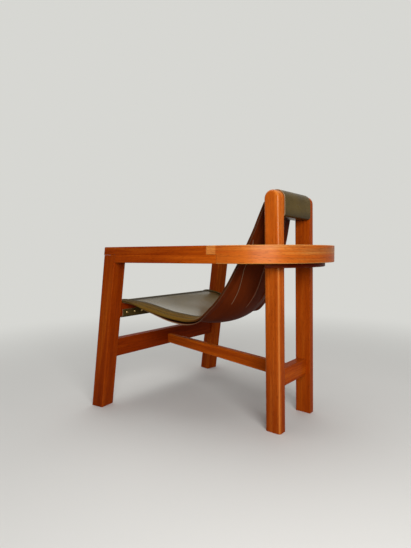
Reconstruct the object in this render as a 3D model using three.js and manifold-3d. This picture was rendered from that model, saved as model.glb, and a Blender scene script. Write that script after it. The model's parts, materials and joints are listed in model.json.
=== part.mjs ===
// Leather sling lounge chair: a horseshoe arm on two raked front legs and two rear posts,
// with a leather sling hung between a seat rail and a round-topped head rail.
// Millimetres, +Z up. The sitter looks along -Y, so +X is the sitter's left.

import * as THREE from 'three';
import { mergeVertices } from 'three/addons/utils/BufferGeometryUtils.js';
import Module from 'manifold-3d';

const wasm = await Module();
wasm.setup();

// Clearances
const JOINT_GAP = 0.3;
const LEATHER_GAP = 0.5;
const DART_GAP = 0.8;

// Horseshoe arm: two straight arms running tangent into one round bow
const ARM_TOP = 600;
const ARM_THICK = 56;
const ARM_WIDTH = 58;
const ARM_EASE = 2.5;
const ARM_FRONT_X = 347;
const ARM_FRONT_Y = -291;
const BOW_RADIUS = 278.5;
const BOW_REAR_Y = 398;
const LAP_LENGTH = 35;

// Front legs, raked forwards and a little outwards towards the floor
const LEG_DEPTH = 52.5;
const LEG_FOOT_FORWARD = 90;
const LEG_SPLAY = 6.5;
const LEG_EASE = 3;
const DOWEL_RADIUS = 5;
const DOWEL_IN_LEG = 26;
const DOWEL_IN_ARM = 17;
const DOWEL_SPACING = 26;

// Rear posts with a half-round top and rounded outer edges, leaning forwards a little
const POST_INNER_X = 92;
const POST_THICK = 33;
const POST_REAR_Y = 300;
const POST_DEPTH = 55;
const POST_TOP = 775;
const POST_ROUND = 10;
const POST_LEAN = 9;

// Half-moon plate under the bow, let into the posts
const PLATE_THICK = 14;
const PLATE_INSET = 30;
const PLATE_DEPTH = 87;
const PLATE_EASE = 1.5;
const SCREW_COUNT = 6;
const SCREW_STEP = THREE.MathUtils.degToRad(17);
const SCREW_LENGTH = 38;
const SCREW_RADIUS = 2;
const SCREW_HEAD_RADIUS = 4.2;
const SCREW_HEAD_HEIGHT = 3;

// Rails and stretchers
const RAIL_EASE = 2.5;
const HEAD_RAIL_HEIGHT = 81;
const HEAD_RAIL_ROUND = 8;
const SEAT_RAIL_TOP = 392;
const SEAT_RAIL_HEIGHT = 54;
const SEAT_RAIL_THICK = 34;
const SEAT_RAIL_ROUND = 8;
const FRONT_STRETCHER_TOP = 251.5;
const FRONT_STRETCHER_HEIGHT = 66.5;
const FRONT_STRETCHER_THICK = 34;
const REAR_RAIL_TOP = 195;
const REAR_RAIL_HEIGHT = 57.5;
const REAR_RAIL_THICK = 34;
const REAR_RAIL_SETBACK = 18.5;
const SPINE_WIDTH = 24;
const SPINE_FRONT_DROP = 23;
const SPINE_FRONT_HEIGHT = 37;
const SPINE_REAR_DROP = 1.5;
const SPINE_REAR_HEIGHT = 46;
const TENON_THICK = 14;
const TENON_SHOULDER = 12;
const TENON_LENGTH = 24;
const SPINE_TENON_WIDTH = 12;
const SPINE_TENON_LENGTH = 18;

// Leather sling: an olive face over a brown lining, with sewn side hems and four back darts
const FACE_THICK = 3.5;
const LINING_THICK = 2;
const HEM_WIDTH = 34;
const HEM_THICK = 2;
const SLING_LEG_PLAY = 16;
const SLING_POST_PLAY = 1.5;
const FRONT_FLAP_HEIGHT = 28;
const HEAD_FLAP_HEIGHT = 30;
const EDGE_SAG = 41;
const EDGE_LOW_Y = 3;
const LIP_DROP = 14;
const LIP_FADE = 120;
const CENTRE_SAG = 80;
const CENTRE_LOW_Y = -30;
const BUCKET_POWER = 2.2;
const HEAD_BULGE = 14;
const HEAD_BULGE_DROP = 6;
const HEAD_ROLL = 24;
const EDGE_SEAT_LEAVE = 152;
const EDGE_SEAT_FLAT = 147;
const EDGE_BACK_LEAVE = 88;
const EDGE_HEAD_DEPTH = 50;
const EDGE_HEAD_RISE = 168;
const CENTRE_SEAT_LEAVE = 60;
const CENTRE_SEAT_FLAT = 120;
const CENTRE_BACK_LEAVE = 172;
const CENTRE_HEAD_DEPTH = 18;
const CENTRE_HEAD_RISE = 190;
const DART_SPACING = 72;
const DART_COUNT = 4;
const DART_WIDTH = 3;
const DART_HEIGHT = 5;
const DART_TIP_HEIGHT = 1;
const DART_FROM_EDGE = 12;

// Domed nails that hold the two ends of the sling
const SEAT_NAIL_COUNT = 15;
const HEAD_NAIL_COUNT = 5;
const NAIL_EDGE = 20;
const NAIL_INSET = 12;
const NAIL_HEAD_RADIUS = 5;
const NAIL_HEAD_HEIGHT = 3;
const NAIL_SHANK_RADIUS = 1.1;
const NAIL_LENGTH = 16;

const wood = new THREE.MeshStandardMaterial({ color: 0xa8521c, roughness: 0.42, metalness: 0 });
const innerWood = new THREE.MeshStandardMaterial({ color: 0xc08a50, roughness: 0.6, metalness: 0 });
const faceLeather = new THREE.MeshStandardMaterial({ color: 0x5c5030, roughness: 0.45, metalness: 0 });
const liningLeather = new THREE.MeshStandardMaterial({ color: 0x4e220c, roughness: 0.6, metalness: 0 });
const cutLeather = new THREE.MeshStandardMaterial({ color: 0x967860, roughness: 0.7, metalness: 0 });
const brass = new THREE.MeshStandardMaterial({ color: 0xc39a4a, roughness: 0.3, metalness: 1 });
const steel = new THREE.MeshStandardMaterial({ color: 0x9a9a96, roughness: 0.4, metalness: 1 });

const chair = new THREE.Group();

function addPiece(name, geometry, material) {
  const mesh = new THREE.Mesh(geometry, material);
  mesh.name = name;
  chair.add(mesh);
  return mesh;
}

// Solids: closed geometries in, joined or cut, closed geometries out

function toSolid(geometry) {
  const bare = geometry.clone();
  bare.deleteAttribute('normal');
  bare.deleteAttribute('uv');
  const welded = mergeVertices(bare, 1e-4);
  return new wasm.Manifold(new wasm.Mesh({
    numProp: 3,
    vertProperties: Float32Array.from(welded.attributes.position.array),
    triVerts: Uint32Array.from(welded.index.array),
  }));
}

function toGeometry(solid) {
  const mesh = solid.getMesh();
  const geometry = new THREE.BufferGeometry();
  geometry.setAttribute('position', new THREE.BufferAttribute(mesh.vertProperties, 3));
  geometry.setIndex(new THREE.BufferAttribute(mesh.triVerts, 1));
  geometry.computeVertexNormals();
  return geometry;
}

function carve(geometry, cuts, adds = []) {
  let solid = toSolid(geometry);
  for (const cut of cuts) solid = solid.subtract(toSolid(cut));
  for (const add of adds) solid = solid.add(toSolid(add));
  return toGeometry(solid);
}

function mirrored(geometry) {
  const copy = geometry.clone().applyMatrix4(new THREE.Matrix4().makeScale(-1, 1, 1));
  if (!copy.index) copy.setIndex([...Array(copy.attributes.position.count).keys()]);
  const order = copy.index.array;
  for (let i = 0; i < order.length; i += 3) [order[i], order[i + 1]] = [order[i + 1], order[i]];
  return copy;
}

function bothSides(geometries) {
  return geometries.flatMap((geometry) => [geometry, mirrored(geometry)]);
}

function block(x0, x1, y0, y1, z0, z1) {
  const box = new THREE.BoxGeometry(x1 - x0, y1 - y0, z1 - z0);
  return box.translate((x0 + x1) / 2, (y0 + y1) / 2, (z0 + z1) / 2);
}

// A rectangle whose corners are rounded, or cut square where the radius is zero
function roundedRectangle(x0, x1, y0, y1, radius) {
  const shape = new THREE.Shape();
  shape.moveTo(x0 + radius, y0);
  shape.lineTo(x1 - radius, y0);
  shape.absarc(x1 - radius, y0 + radius, radius, -Math.PI / 2, 0);
  shape.lineTo(x1, y1 - radius);
  shape.absarc(x1 - radius, y1 - radius, radius, 0, Math.PI / 2);
  shape.lineTo(x0 + radius, y1);
  shape.absarc(x0 + radius, y1 - radius, radius, Math.PI / 2, Math.PI);
  shape.lineTo(x0, y0 + radius);
  shape.absarc(x0 + radius, y0 + radius, radius, Math.PI, Math.PI * 1.5);
  return shape;
}

function arcPoints(centreY, centreZ, radius, from, to, steps) {
  return [...Array(steps + 1).keys()].map((step) => {
    const angle = from + (to - from) * step / steps;
    return new THREE.Vector2(centreY + radius * Math.cos(angle), centreZ + radius * Math.sin(angle));
  });
}

// How finely curves are divided; the leather and the rails under it share their divisions
const EASE_STEPS = 3;
const CORNER_STEPS = 2;
const ARCH_STEPS = 6;
const SEAT_STEPS = 8;
const BACK_STEPS = 12;
const ROLL_STEPS = 4;

function prism(shape, from, to, steps = EASE_STEPS) {
  const options = { depth: to - from, bevelEnabled: false, curveSegments: steps };
  const geometry = new THREE.ExtrudeGeometry(shape, options);
  return geometry.translate(0, 0, from);
}

// A prism whose end edges are rounded over without growing its outline
function easedPrism(shape, from, to, ease, steps, curveSteps) {
  const geometry = new THREE.ExtrudeGeometry(shape, {
    depth: to - from - 2 * ease,
    bevelEnabled: true,
    bevelSize: ease,
    bevelThickness: ease,
    bevelOffset: -ease,
    bevelSegments: steps,
    curveSegments: curveSteps,
  });
  return geometry.translate(0, 0, from + ease);
}

// Turns a profile drawn in (y, z) and extruded along its own z into a piece that runs along X
const alongX = new THREE.Matrix4().makeBasis(
  new THREE.Vector3(0, 1, 0), new THREE.Vector3(0, 0, 1), new THREE.Vector3(1, 0, 0));

// Layout: where the straight arm meets the bow, and the turned frame of the left arm and leg

const frontCorner = new THREE.Vector2(ARM_FRONT_X, ARM_FRONT_Y);
const BOW_CENTRE_Y = BOW_REAR_Y - BOW_RADIUS;
const bowCentre = new THREE.Vector2(0, BOW_CENTRE_Y);
const cornerFromCentre = frontCorner.clone().sub(bowCentre);
const ARM_TURN = cornerFromCentre.angle() - 2 * Math.PI + Math.acos(BOW_RADIUS / cornerFromCentre.length());
const ARM_LENGTH = Math.sqrt(cornerFromCentre.lengthSq() - BOW_RADIUS ** 2);
const backwards = new THREE.Vector3(-Math.sin(ARM_TURN), Math.cos(ARM_TURN), 0);
const inwards = new THREE.Vector3(-Math.cos(ARM_TURN), -Math.sin(ARM_TURN), 0);
const upwards = new THREE.Vector3(0, 0, 1);
const ARM_BOTTOM = ARM_TOP - ARM_THICK;
const LAP_Z = ARM_TOP - ARM_THICK / 2;
const OVERCUT = 20;

const armFrame = new THREE.Matrix4().makeBasis(backwards, inwards, upwards);
armFrame.setPosition(ARM_FRONT_X, ARM_FRONT_Y, 0);

// The leg's frame leans: its section keeps the arm's turn and slides forwards on the way down
const lean = new THREE.Vector3(-LEG_SPLAY / ARM_TOP, LEG_FOOT_FORWARD / ARM_TOP, 1);
const legFrame = new THREE.Matrix4().makeBasis(backwards, inwards, lean);
legFrame.setPosition(ARM_FRONT_X + LEG_SPLAY, ARM_FRONT_Y - LEG_FOOT_FORWARD, 0);

function inArm(geometry) {
  return geometry.applyMatrix4(armFrame);
}

function inLeg(geometry) {
  return geometry.applyMatrix4(legFrame);
}

// All that lies outside the left leg's inner face
function beyondLeg(gap) {
  return inLeg(block(-LEG_DEPTH, 2 * LEG_DEPTH, -ARM_WIDTH, ARM_WIDTH + gap, 0, ARM_TOP));
}

// The Y of the middle of the left leg's inner face at a given height
function legMiddleY(z) {
  return new THREE.Vector3(LEG_DEPTH / 2, ARM_WIDTH, z).applyMatrix4(legFrame).y;
}

// Round pins and nails stand on +Z and are turned into place

function pinAt(radius, sides, from, to, x, y) {
  const pin = new THREE.CylinderGeometry(radius, radius, to - from, sides);
  return pin.rotateX(Math.PI / 2).translate(x, y, (from + to) / 2);
}

const PIN_SIDES = 12;
const SMALL_SIDES = 8;

// Rails with a tenon at each end

const PLATE_FRONT_Y = BOW_REAR_Y - PLATE_INSET - PLATE_DEPTH;
const POST_OUTER_X = POST_INNER_X + POST_THICK;
const POST_FRONT_Y = POST_REAR_Y - POST_DEPTH;
const POST_MIDDLE_Y = POST_REAR_Y - POST_DEPTH / 2;
const CROWN_RADIUS = POST_DEPTH / 2;
const CROWN_Z = POST_TOP - CROWN_RADIUS;
const HEAD_RAIL_BOTTOM = POST_TOP - HEAD_RAIL_HEIGHT;
const SEAT_RAIL_BOTTOM = SEAT_RAIL_TOP - SEAT_RAIL_HEIGHT;
const SEAT_RAIL_Y = legMiddleY((SEAT_RAIL_BOTTOM + SEAT_RAIL_TOP) / 2);
const SEAT_RAIL_REAR_Y = SEAT_RAIL_Y + SEAT_RAIL_THICK / 2;
const FRONT_STRETCHER_BOTTOM = FRONT_STRETCHER_TOP - FRONT_STRETCHER_HEIGHT;
const FRONT_STRETCHER_Y = legMiddleY((FRONT_STRETCHER_BOTTOM + FRONT_STRETCHER_TOP) / 2);
const FRONT_STRETCHER_REAR_Y = FRONT_STRETCHER_Y + FRONT_STRETCHER_THICK / 2;
const REAR_RAIL_BOTTOM = REAR_RAIL_TOP - REAR_RAIL_HEIGHT;
const REAR_RAIL_REAR_Y = POST_REAR_Y - REAR_RAIL_SETBACK;
const REAR_RAIL_FRONT_Y = REAR_RAIL_REAR_Y - REAR_RAIL_THICK;

// What stands on the posts slides forwards with their lean, more the higher it is
const LEAN_SLOPE = POST_LEAN / POST_TOP;
const postLean = new THREE.Matrix4().makeBasis(
  new THREE.Vector3(1, 0, 0), new THREE.Vector3(0, 1, 0), new THREE.Vector3(0, -LEAN_SLOPE, 1));

function leaned(geometry) {
  return geometry.applyMatrix4(postLean);
}

function leanedPoint(y, z) {
  return new THREE.Vector2(y - LEAN_SLOPE * z, z);
}

// The X of the left leg's inner face at a given depth and height
function legInnerX(y, z) {
  const corner = new THREE.Vector3(LEG_DEPTH, ARM_WIDTH, z).applyMatrix4(legFrame);
  return corner.x + (corner.y - y) * Math.tan(ARM_TURN);
}

function tenon(fromX, toX, y, z0, z1, gap) {
  const half = TENON_THICK / 2 + gap;
  return block(fromX, toX + gap, y - half, y + half, z0 + TENON_SHOULDER - gap, z1 - TENON_SHOULDER + gap);
}

function legTenon(y, z0, z1, gap) {
  const face = legInnerX(y, (z0 + z1) / 2);
  return tenon(face - TENON_LENGTH, face + TENON_LENGTH, y, z0, z1, gap);
}

function postTenon(y, z0, z1, gap) {
  return tenon(POST_INNER_X - TENON_LENGTH, POST_INNER_X + TENON_LENGTH, y, z0, z1, gap);
}

function spineTenon(fromY, toY, middleZ, gap) {
  const halfWidth = SPINE_TENON_WIDTH / 2 + gap;
  const halfHeight = SPINE_FRONT_HEIGHT / 2 - TENON_SHOULDER + SPINE_TENON_WIDTH / 2 + gap;
  return block(-halfWidth, halfWidth, fromY - gap, toY + gap, middleZ - halfHeight, middleZ + halfHeight);
}

const SPINE_FRONT_TOP = FRONT_STRETCHER_TOP - SPINE_FRONT_DROP;
const SPINE_REAR_TOP = REAR_RAIL_TOP - SPINE_REAR_DROP;

function spineFrontTenon(gap) {
  const y = FRONT_STRETCHER_REAR_Y;
  const z = SPINE_FRONT_TOP - SPINE_FRONT_HEIGHT / 2;
  return spineTenon(y - SPINE_TENON_LENGTH, y + SPINE_TENON_LENGTH, z, gap);
}

function spineRearTenon(gap) {
  const y = REAR_RAIL_FRONT_Y;
  const z = SPINE_REAR_TOP - SPINE_REAR_HEIGHT / 2;
  return spineTenon(y - SPINE_TENON_LENGTH, y + SPINE_TENON_LENGTH, z, gap);
}

function railBetweenLegs(y, thick, z0, z1, round, cuts) {
  const reach = legInnerX(y, (z0 + z1) / 2) + TENON_LENGTH;
  const profile = roundedRectangle(y - thick / 2, y + thick / 2, z0, z1, round);
  const bar = prism(profile, -reach, reach, CORNER_STEPS / 2).applyMatrix4(alongX);
  const legs = bothSides([beyondLeg(JOINT_GAP)]);
  return carve(carve(bar, legs, bothSides([legTenon(y, z0, z1, 0)])), cuts);
}

// Front legs

const dowelPlaces = [-DOWEL_SPACING / 2, DOWEL_SPACING / 2].map((offset) =>
  new THREE.Vector3(LEG_DEPTH / 2, ARM_WIDTH / 2 + offset, LAP_Z).applyMatrix4(legFrame));

function legDowel(place, gap) {
  const from = LAP_Z - DOWEL_IN_LEG - gap;
  const to = LAP_Z + DOWEL_IN_ARM + gap;
  return pinAt(DOWEL_RADIUS + gap, PIN_SIDES, from, to, place.x, place.y);
}

function frontLeg() {
  const section = roundedRectangle(0, LEG_DEPTH, 0, ARM_WIDTH, LEG_EASE);
  const bar = inLeg(prism(section, 0, LAP_Z - JOINT_GAP));
  return carve(bar, [
    legTenon(SEAT_RAIL_Y, SEAT_RAIL_BOTTOM, SEAT_RAIL_TOP, JOINT_GAP),
    legTenon(FRONT_STRETCHER_Y, FRONT_STRETCHER_BOTTOM, FRONT_STRETCHER_TOP, JOINT_GAP),
    ...dowelPlaces.map((place) => legDowel(place, JOINT_GAP)),
  ]);
}

// Straight arm: lapped over the leg at its front end and into the bow at its rear end
function straightArm() {
  const plan = roundedRectangle(-OVERCUT, ARM_LENGTH + OVERCUT, 0, ARM_WIDTH, 0);
  const bar = inArm(easedPrism(plan, ARM_BOTTOM, ARM_TOP, ARM_EASE, EASE_STEPS, 1));
  const wide = [-OVERCUT, ARM_WIDTH + OVERCUT];
  const far = ARM_LENGTH + 2 * OVERCUT;
  return carve(bar, [
    inLeg(block(-3 * OVERCUT, 0, ...wide, ARM_BOTTOM - OVERCUT, ARM_TOP + OVERCUT)),
    inLeg(block(-OVERCUT, LEG_DEPTH + JOINT_GAP, ...wide, ARM_BOTTOM - OVERCUT, LAP_Z)),
    inArm(block(ARM_LENGTH, far, ...wide, ARM_BOTTOM - OVERCUT, ARM_TOP + OVERCUT)),
    inArm(block(ARM_LENGTH - LAP_LENGTH, far, ...wide, LAP_Z, ARM_TOP + OVERCUT)),
    ...dowelPlaces.map((place) => legDowel(place, JOINT_GAP)),
  ]);
}

// Bow: a round band that lies on the plate, with an upper tongue over each arm
const ARC_STEPS = 40;

function bandPlan(outer, inner, tongue) {
  const turn = ARM_TURN;
  const start = (radius, along, side) => new THREE.Vector2(
    side * (radius * Math.cos(turn) + along * Math.sin(turn)),
    BOW_CENTRE_Y + radius * Math.sin(turn) - along * Math.cos(turn));
  const shape = new THREE.Shape([start(outer, tongue, 1), start(outer, 0, 1)]);
  shape.absarc(0, BOW_CENTRE_Y, outer, turn, Math.PI - turn, false);
  for (const point of [start(outer, tongue, -1), start(inner, tongue, -1), start(inner, 0, -1)]) {
    shape.lineTo(point.x, point.y);
  }
  shape.absarc(0, BOW_CENTRE_Y, inner, Math.PI - turn, turn, true);
  const last = start(inner, tongue, 1);
  shape.lineTo(last.x, last.y);
  return shape;
}

function bow() {
  const plan = bandPlan(BOW_RADIUS, BOW_RADIUS - ARM_WIDTH, LAP_LENGTH + OVERCUT);
  const band = easedPrism(plan, ARM_BOTTOM, ARM_TOP, ARM_EASE, EASE_STEPS, ARC_STEPS);
  const wide = [-OVERCUT, ARM_WIDTH + OVERCUT];
  const near = ARM_LENGTH - LAP_LENGTH - 2 * OVERCUT;
  const lapEnd = ARM_LENGTH - LAP_LENGTH + JOINT_GAP;
  return carve(band, [
    ...bothSides([
      inArm(block(near, lapEnd, ...wide, ARM_BOTTOM - OVERCUT, ARM_TOP + OVERCUT)),
      inArm(block(near, ARM_LENGTH + JOINT_GAP, ...wide, ARM_BOTTOM - OVERCUT, LAP_Z + JOINT_GAP)),
    ]),
    ...screwPlaces.map((place) => screw(JOINT_GAP).translate(place.x, place.y, PLATE_BOTTOM)),
  ]);
}

// Half-moon plate and its countersunk screws

const PLATE_TOP = ARM_BOTTOM - JOINT_GAP;
const PLATE_BOTTOM = PLATE_TOP - PLATE_THICK;
const PLATE_RADIUS = BOW_RADIUS - PLATE_INSET;
const SCREW_CIRCLE = (PLATE_RADIUS + BOW_RADIUS - ARM_WIDTH) / 2;

const screwPlaces = [...Array(SCREW_COUNT).keys()].map((index) => {
  const angle = Math.PI / 2 + (index - (SCREW_COUNT - 1) / 2) * SCREW_STEP;
  return new THREE.Vector2(SCREW_CIRCLE * Math.cos(angle), BOW_CENTRE_Y + SCREW_CIRCLE * Math.sin(angle));
});

// A countersunk screw standing on its head, drawn larger all round when it is used as a cutter
function screw(gap) {
  const bottom = gap > 0 ? -OVERCUT : 0;
  const profile = [
    new THREE.Vector2(0, bottom),
    new THREE.Vector2(SCREW_HEAD_RADIUS + gap, bottom),
    new THREE.Vector2(SCREW_HEAD_RADIUS + gap, gap),
    new THREE.Vector2(SCREW_RADIUS + gap, SCREW_HEAD_HEIGHT + gap),
    new THREE.Vector2(SCREW_RADIUS + gap, SCREW_LENGTH + gap),
    new THREE.Vector2(0, SCREW_LENGTH + gap),
  ];
  return lathe(gap > 0 ? profile : profile.filter((point, index) => index !== 2), SMALL_SIDES);
}

// A profile of (radius, height) points turned about +Z
function lathe(profile, sides) {
  return new THREE.LatheGeometry(profile, sides).rotateX(Math.PI / 2);
}

function bowPlate() {
  const low = Math.asin((PLATE_FRONT_Y - BOW_CENTRE_Y) / PLATE_RADIUS);
  const shape = new THREE.Shape().absarc(0, BOW_CENTRE_Y, PLATE_RADIUS, low, Math.PI - low, false);
  const board = easedPrism(shape, PLATE_BOTTOM, PLATE_TOP, PLATE_EASE, 1, ARC_STEPS / 2);
  return carve(board, screwPlaces.map((place) => screw(JOINT_GAP).translate(place.x, place.y, PLATE_BOTTOM)));
}

// Rear posts

const CROWN_STEPS = 20;

// A bottom edge, front to rear, closed by the half-round crown that the posts and the head rail share
function crownOutline(bottom, steps) {
  return new THREE.Shape([...bottom, ...arcPoints(POST_MIDDLE_Y, CROWN_Z, CROWN_RADIUS, 0, Math.PI, steps)]);
}

function rearPost() {
  const foot = [POST_FRONT_Y, POST_REAR_Y].map((y) => new THREE.Vector2(y, -2 * OVERCUT));
  const profile = crownOutline(foot, CROWN_STEPS);
  const from = POST_INNER_X - POST_ROUND;
  const upright = easedPrism(profile, from, POST_OUTER_X, POST_ROUND, EASE_STEPS + 1, 1);
  const bar = leaned(upright.applyMatrix4(alongX));
  const deep = [POST_FRONT_Y - OVERCUT, POST_REAR_Y + OVERCUT];
  return carve(bar, [
    block(from - OVERCUT, POST_INNER_X, ...deep, -3 * OVERCUT, POST_TOP + OVERCUT),
    block(from - OVERCUT, POST_OUTER_X + OVERCUT, ...deep, -3 * OVERCUT, 0),
    block(from, POST_OUTER_X + OVERCUT, PLATE_FRONT_Y - JOINT_GAP, POST_REAR_Y + OVERCUT,
      PLATE_BOTTOM - JOINT_GAP, PLATE_TOP + JOINT_GAP),
    leaned(postTenon(POST_MIDDLE_Y, HEAD_RAIL_BOTTOM, CROWN_Z, JOINT_GAP)),
    postTenon(REAR_RAIL_REAR_Y - REAR_RAIL_THICK / 2, REAR_RAIL_BOTTOM, REAR_RAIL_TOP, JOINT_GAP),
  ]);
}

// Rails between the posts

function headRail() {
  const round = HEAD_RAIL_ROUND;
  const low = HEAD_RAIL_BOTTOM + round;
  const bottom = [
    ...arcPoints(POST_FRONT_Y + round, low, round, -Math.PI, -Math.PI / 2, CORNER_STEPS),
    ...arcPoints(POST_REAR_Y - round, low, round, -Math.PI / 2, 0, CORNER_STEPS),
  ];
  const half = POST_INNER_X - JOINT_GAP;
  const bar = leaned(prism(crownOutline(bottom, 2 * ARCH_STEPS), -half, half).applyMatrix4(alongX));
  const tenons = bothSides([leaned(postTenon(POST_MIDDLE_Y, HEAD_RAIL_BOTTOM, CROWN_Z, 0))]);
  return carve(carve(bar, [], tenons), headNails.map((place) => nailIn(place, JOINT_GAP)));
}

function rearRail() {
  const y = REAR_RAIL_REAR_Y - REAR_RAIL_THICK / 2;
  const profile = roundedRectangle(REAR_RAIL_FRONT_Y, REAR_RAIL_REAR_Y,
    REAR_RAIL_BOTTOM, REAR_RAIL_TOP, RAIL_EASE);
  const half = POST_INNER_X - JOINT_GAP;
  const bar = prism(profile, -half, half).applyMatrix4(alongX);
  const tenons = bothSides([postTenon(y, REAR_RAIL_BOTTOM, REAR_RAIL_TOP, 0)]);
  return carve(carve(bar, [], tenons), [spineRearTenon(JOINT_GAP)]);
}

// Centre stretcher: deeper at the rear, sloping down from the front stretcher to the rear rail
function centreStretcher() {
  const frontY = FRONT_STRETCHER_REAR_Y + JOINT_GAP;
  const rearY = REAR_RAIL_FRONT_Y - JOINT_GAP;
  const profile = new THREE.Shape([
    new THREE.Vector2(frontY, SPINE_FRONT_TOP - SPINE_FRONT_HEIGHT),
    new THREE.Vector2(rearY, SPINE_REAR_TOP - SPINE_REAR_HEIGHT),
    new THREE.Vector2(rearY, SPINE_REAR_TOP),
    new THREE.Vector2(frontY, SPINE_FRONT_TOP),
  ]);
  const bar = easedPrism(profile, -SPINE_WIDTH / 2, SPINE_WIDTH / 2, RAIL_EASE, EASE_STEPS, 1);
  return carve(bar.applyMatrix4(alongX), [], [spineFrontTenon(0), spineRearTenon(0)]);
}

// Nails: a domed head on a shank, modelled on +Z with the head's flat at zero

function nail(gap) {
  const shank = NAIL_SHANK_RADIUS + gap;
  if (gap > 0) return pinAt(shank, SMALL_SIDES, -NAIL_LENGTH - gap, NAIL_HEAD_HEIGHT, 0, 0);
  const dome = [0, 1, 2, 3].map((step) => {
    const angle = (step / 3) * Math.PI / 2;
    return new THREE.Vector2(NAIL_HEAD_RADIUS * Math.cos(angle), NAIL_HEAD_HEIGHT * Math.sin(angle));
  });
  dome[dome.length - 1].x = 0;
  const tip = new THREE.Vector2(0, -NAIL_LENGTH);
  const foot = new THREE.Vector2(shank, -NAIL_LENGTH + 2 * shank);
  return lathe([tip, foot, new THREE.Vector2(shank, 0), ...dome], SMALL_SIDES);
}

const LEATHER_OUT = LEATHER_GAP + FACE_THICK + JOINT_GAP;

function nailRow(count, halfWidth, y, z, turn) {
  const reach = halfWidth - NAIL_EDGE;
  return [...Array(count).keys()].map((index) => ({ x: reach * (2 * index / (count - 1) - 1), y, z, turn }));
}

const SLING_FRONT_HALF = legInnerX(SEAT_RAIL_Y, SEAT_RAIL_TOP - SEAT_RAIL_HEIGHT / 2) - SLING_LEG_PLAY;
const SLING_HEAD_HALF = POST_INNER_X - SLING_POST_PLAY;
const FRONT_FLAP_TOP = SEAT_RAIL_BOTTOM + FRONT_FLAP_HEIGHT;
const HEAD_FLAP_TOP = HEAD_RAIL_BOTTOM + HEAD_FLAP_HEIGHT;
const seatNails = nailRow(SEAT_NAIL_COUNT, SLING_FRONT_HALF,
  SEAT_RAIL_REAR_Y + LEATHER_OUT, FRONT_FLAP_TOP - NAIL_INSET, -Math.PI / 2);
const headNailLine = leanedPoint(POST_FRONT_Y - LEATHER_OUT, HEAD_FLAP_TOP - NAIL_INSET);
const headNails = nailRow(HEAD_NAIL_COUNT, SLING_HEAD_HALF, headNailLine.x, headNailLine.y, Math.PI / 2);

function nailIn(place, gap) {
  return nail(gap).rotateX(place.turn).translate(place.x, place.y, place.z);
}

// Sling: stations along its length, each with the line of its hems and of its middle

const wrap = LEATHER_GAP + FACE_THICK / 2;

// Down the rail's rear face, under it, up its front face and over its top
function seatRailWrap() {
  const round = SEAT_RAIL_ROUND;
  const rear = SEAT_RAIL_REAR_Y - round;
  const front = SEAT_RAIL_Y - SEAT_RAIL_THICK / 2 + round;
  const low = SEAT_RAIL_BOTTOM + round;
  const high = SEAT_RAIL_TOP - round;
  const quarter = Math.PI / 2;
  return [
    new THREE.Vector2(SEAT_RAIL_REAR_Y + wrap, FRONT_FLAP_TOP),
    ...arcPoints(rear, low, round + wrap, 0, -quarter, CORNER_STEPS),
    ...arcPoints(front, low, round + wrap, -quarter, -2 * quarter, CORNER_STEPS),
    ...arcPoints(front, high, round + wrap, 2 * quarter, quarter, CORNER_STEPS),
    new THREE.Vector2(rear, SEAT_RAIL_TOP + wrap),
  ];
}

// Over the head rail's crown, down its rear face, under it and up its front face
function headRailWrap() {
  const round = HEAD_RAIL_ROUND;
  const low = HEAD_RAIL_BOTTOM + round;
  const quarter = Math.PI / 2;
  return [
    ...arcPoints(POST_MIDDLE_Y, CROWN_Z, CROWN_RADIUS + wrap, quarter, 0, ARCH_STEPS),
    ...arcPoints(POST_REAR_Y - round, low, round + wrap, 0, -quarter, CORNER_STEPS),
    ...arcPoints(POST_FRONT_Y + round, low, round + wrap, -quarter, -2 * quarter, CORNER_STEPS),
    new THREE.Vector2(POST_FRONT_Y - wrap, HEAD_FLAP_TOP),
  ].map((point) => leanedPoint(point.x, point.y));
}

function sampled(start, leave, arrive, end, steps) {
  return new THREE.CubicBezierCurve(start, leave, arrive, end).getPoints(steps).slice(1);
}

// Handles of the curves are drawn from the sling's own sizes: how fast it leaves the seat rail,
// how round its bottom is, and how upright it reaches the head rail
function slingLine(sag, lowY, seatLeave, seatArrive, backLeave, backArrive) {
  const start = new THREE.Vector2(SEAT_RAIL_REAR_Y - SEAT_RAIL_ROUND, SEAT_RAIL_TOP + wrap);
  const low = new THREE.Vector2(lowY, SEAT_RAIL_TOP + wrap - sag);
  const head = leanedPoint(POST_FRONT_Y - HEAD_BULGE, CROWN_Z - HEAD_BULGE_DROP);
  const crown = leanedPoint(POST_MIDDLE_Y, POST_TOP + wrap);
  const upright = backArrive.clone().normalize();
  const seat = sampled(start, new THREE.Vector2(start.x + seatLeave, start.y),
    new THREE.Vector2(low.x - seatArrive, low.y), low, SEAT_STEPS);
  const back = sampled(low, new THREE.Vector2(low.x + backLeave, low.y),
    head.clone().sub(backArrive), head, BACK_STEPS);
  const over = sampled(head, head.clone().addScaledVector(upright, HEAD_ROLL),
    new THREE.Vector2(crown.x - HEAD_ROLL, crown.y), crown, ROLL_STEPS);
  return [...seat, ...back, ...over.slice(0, -1)];
}

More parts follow.
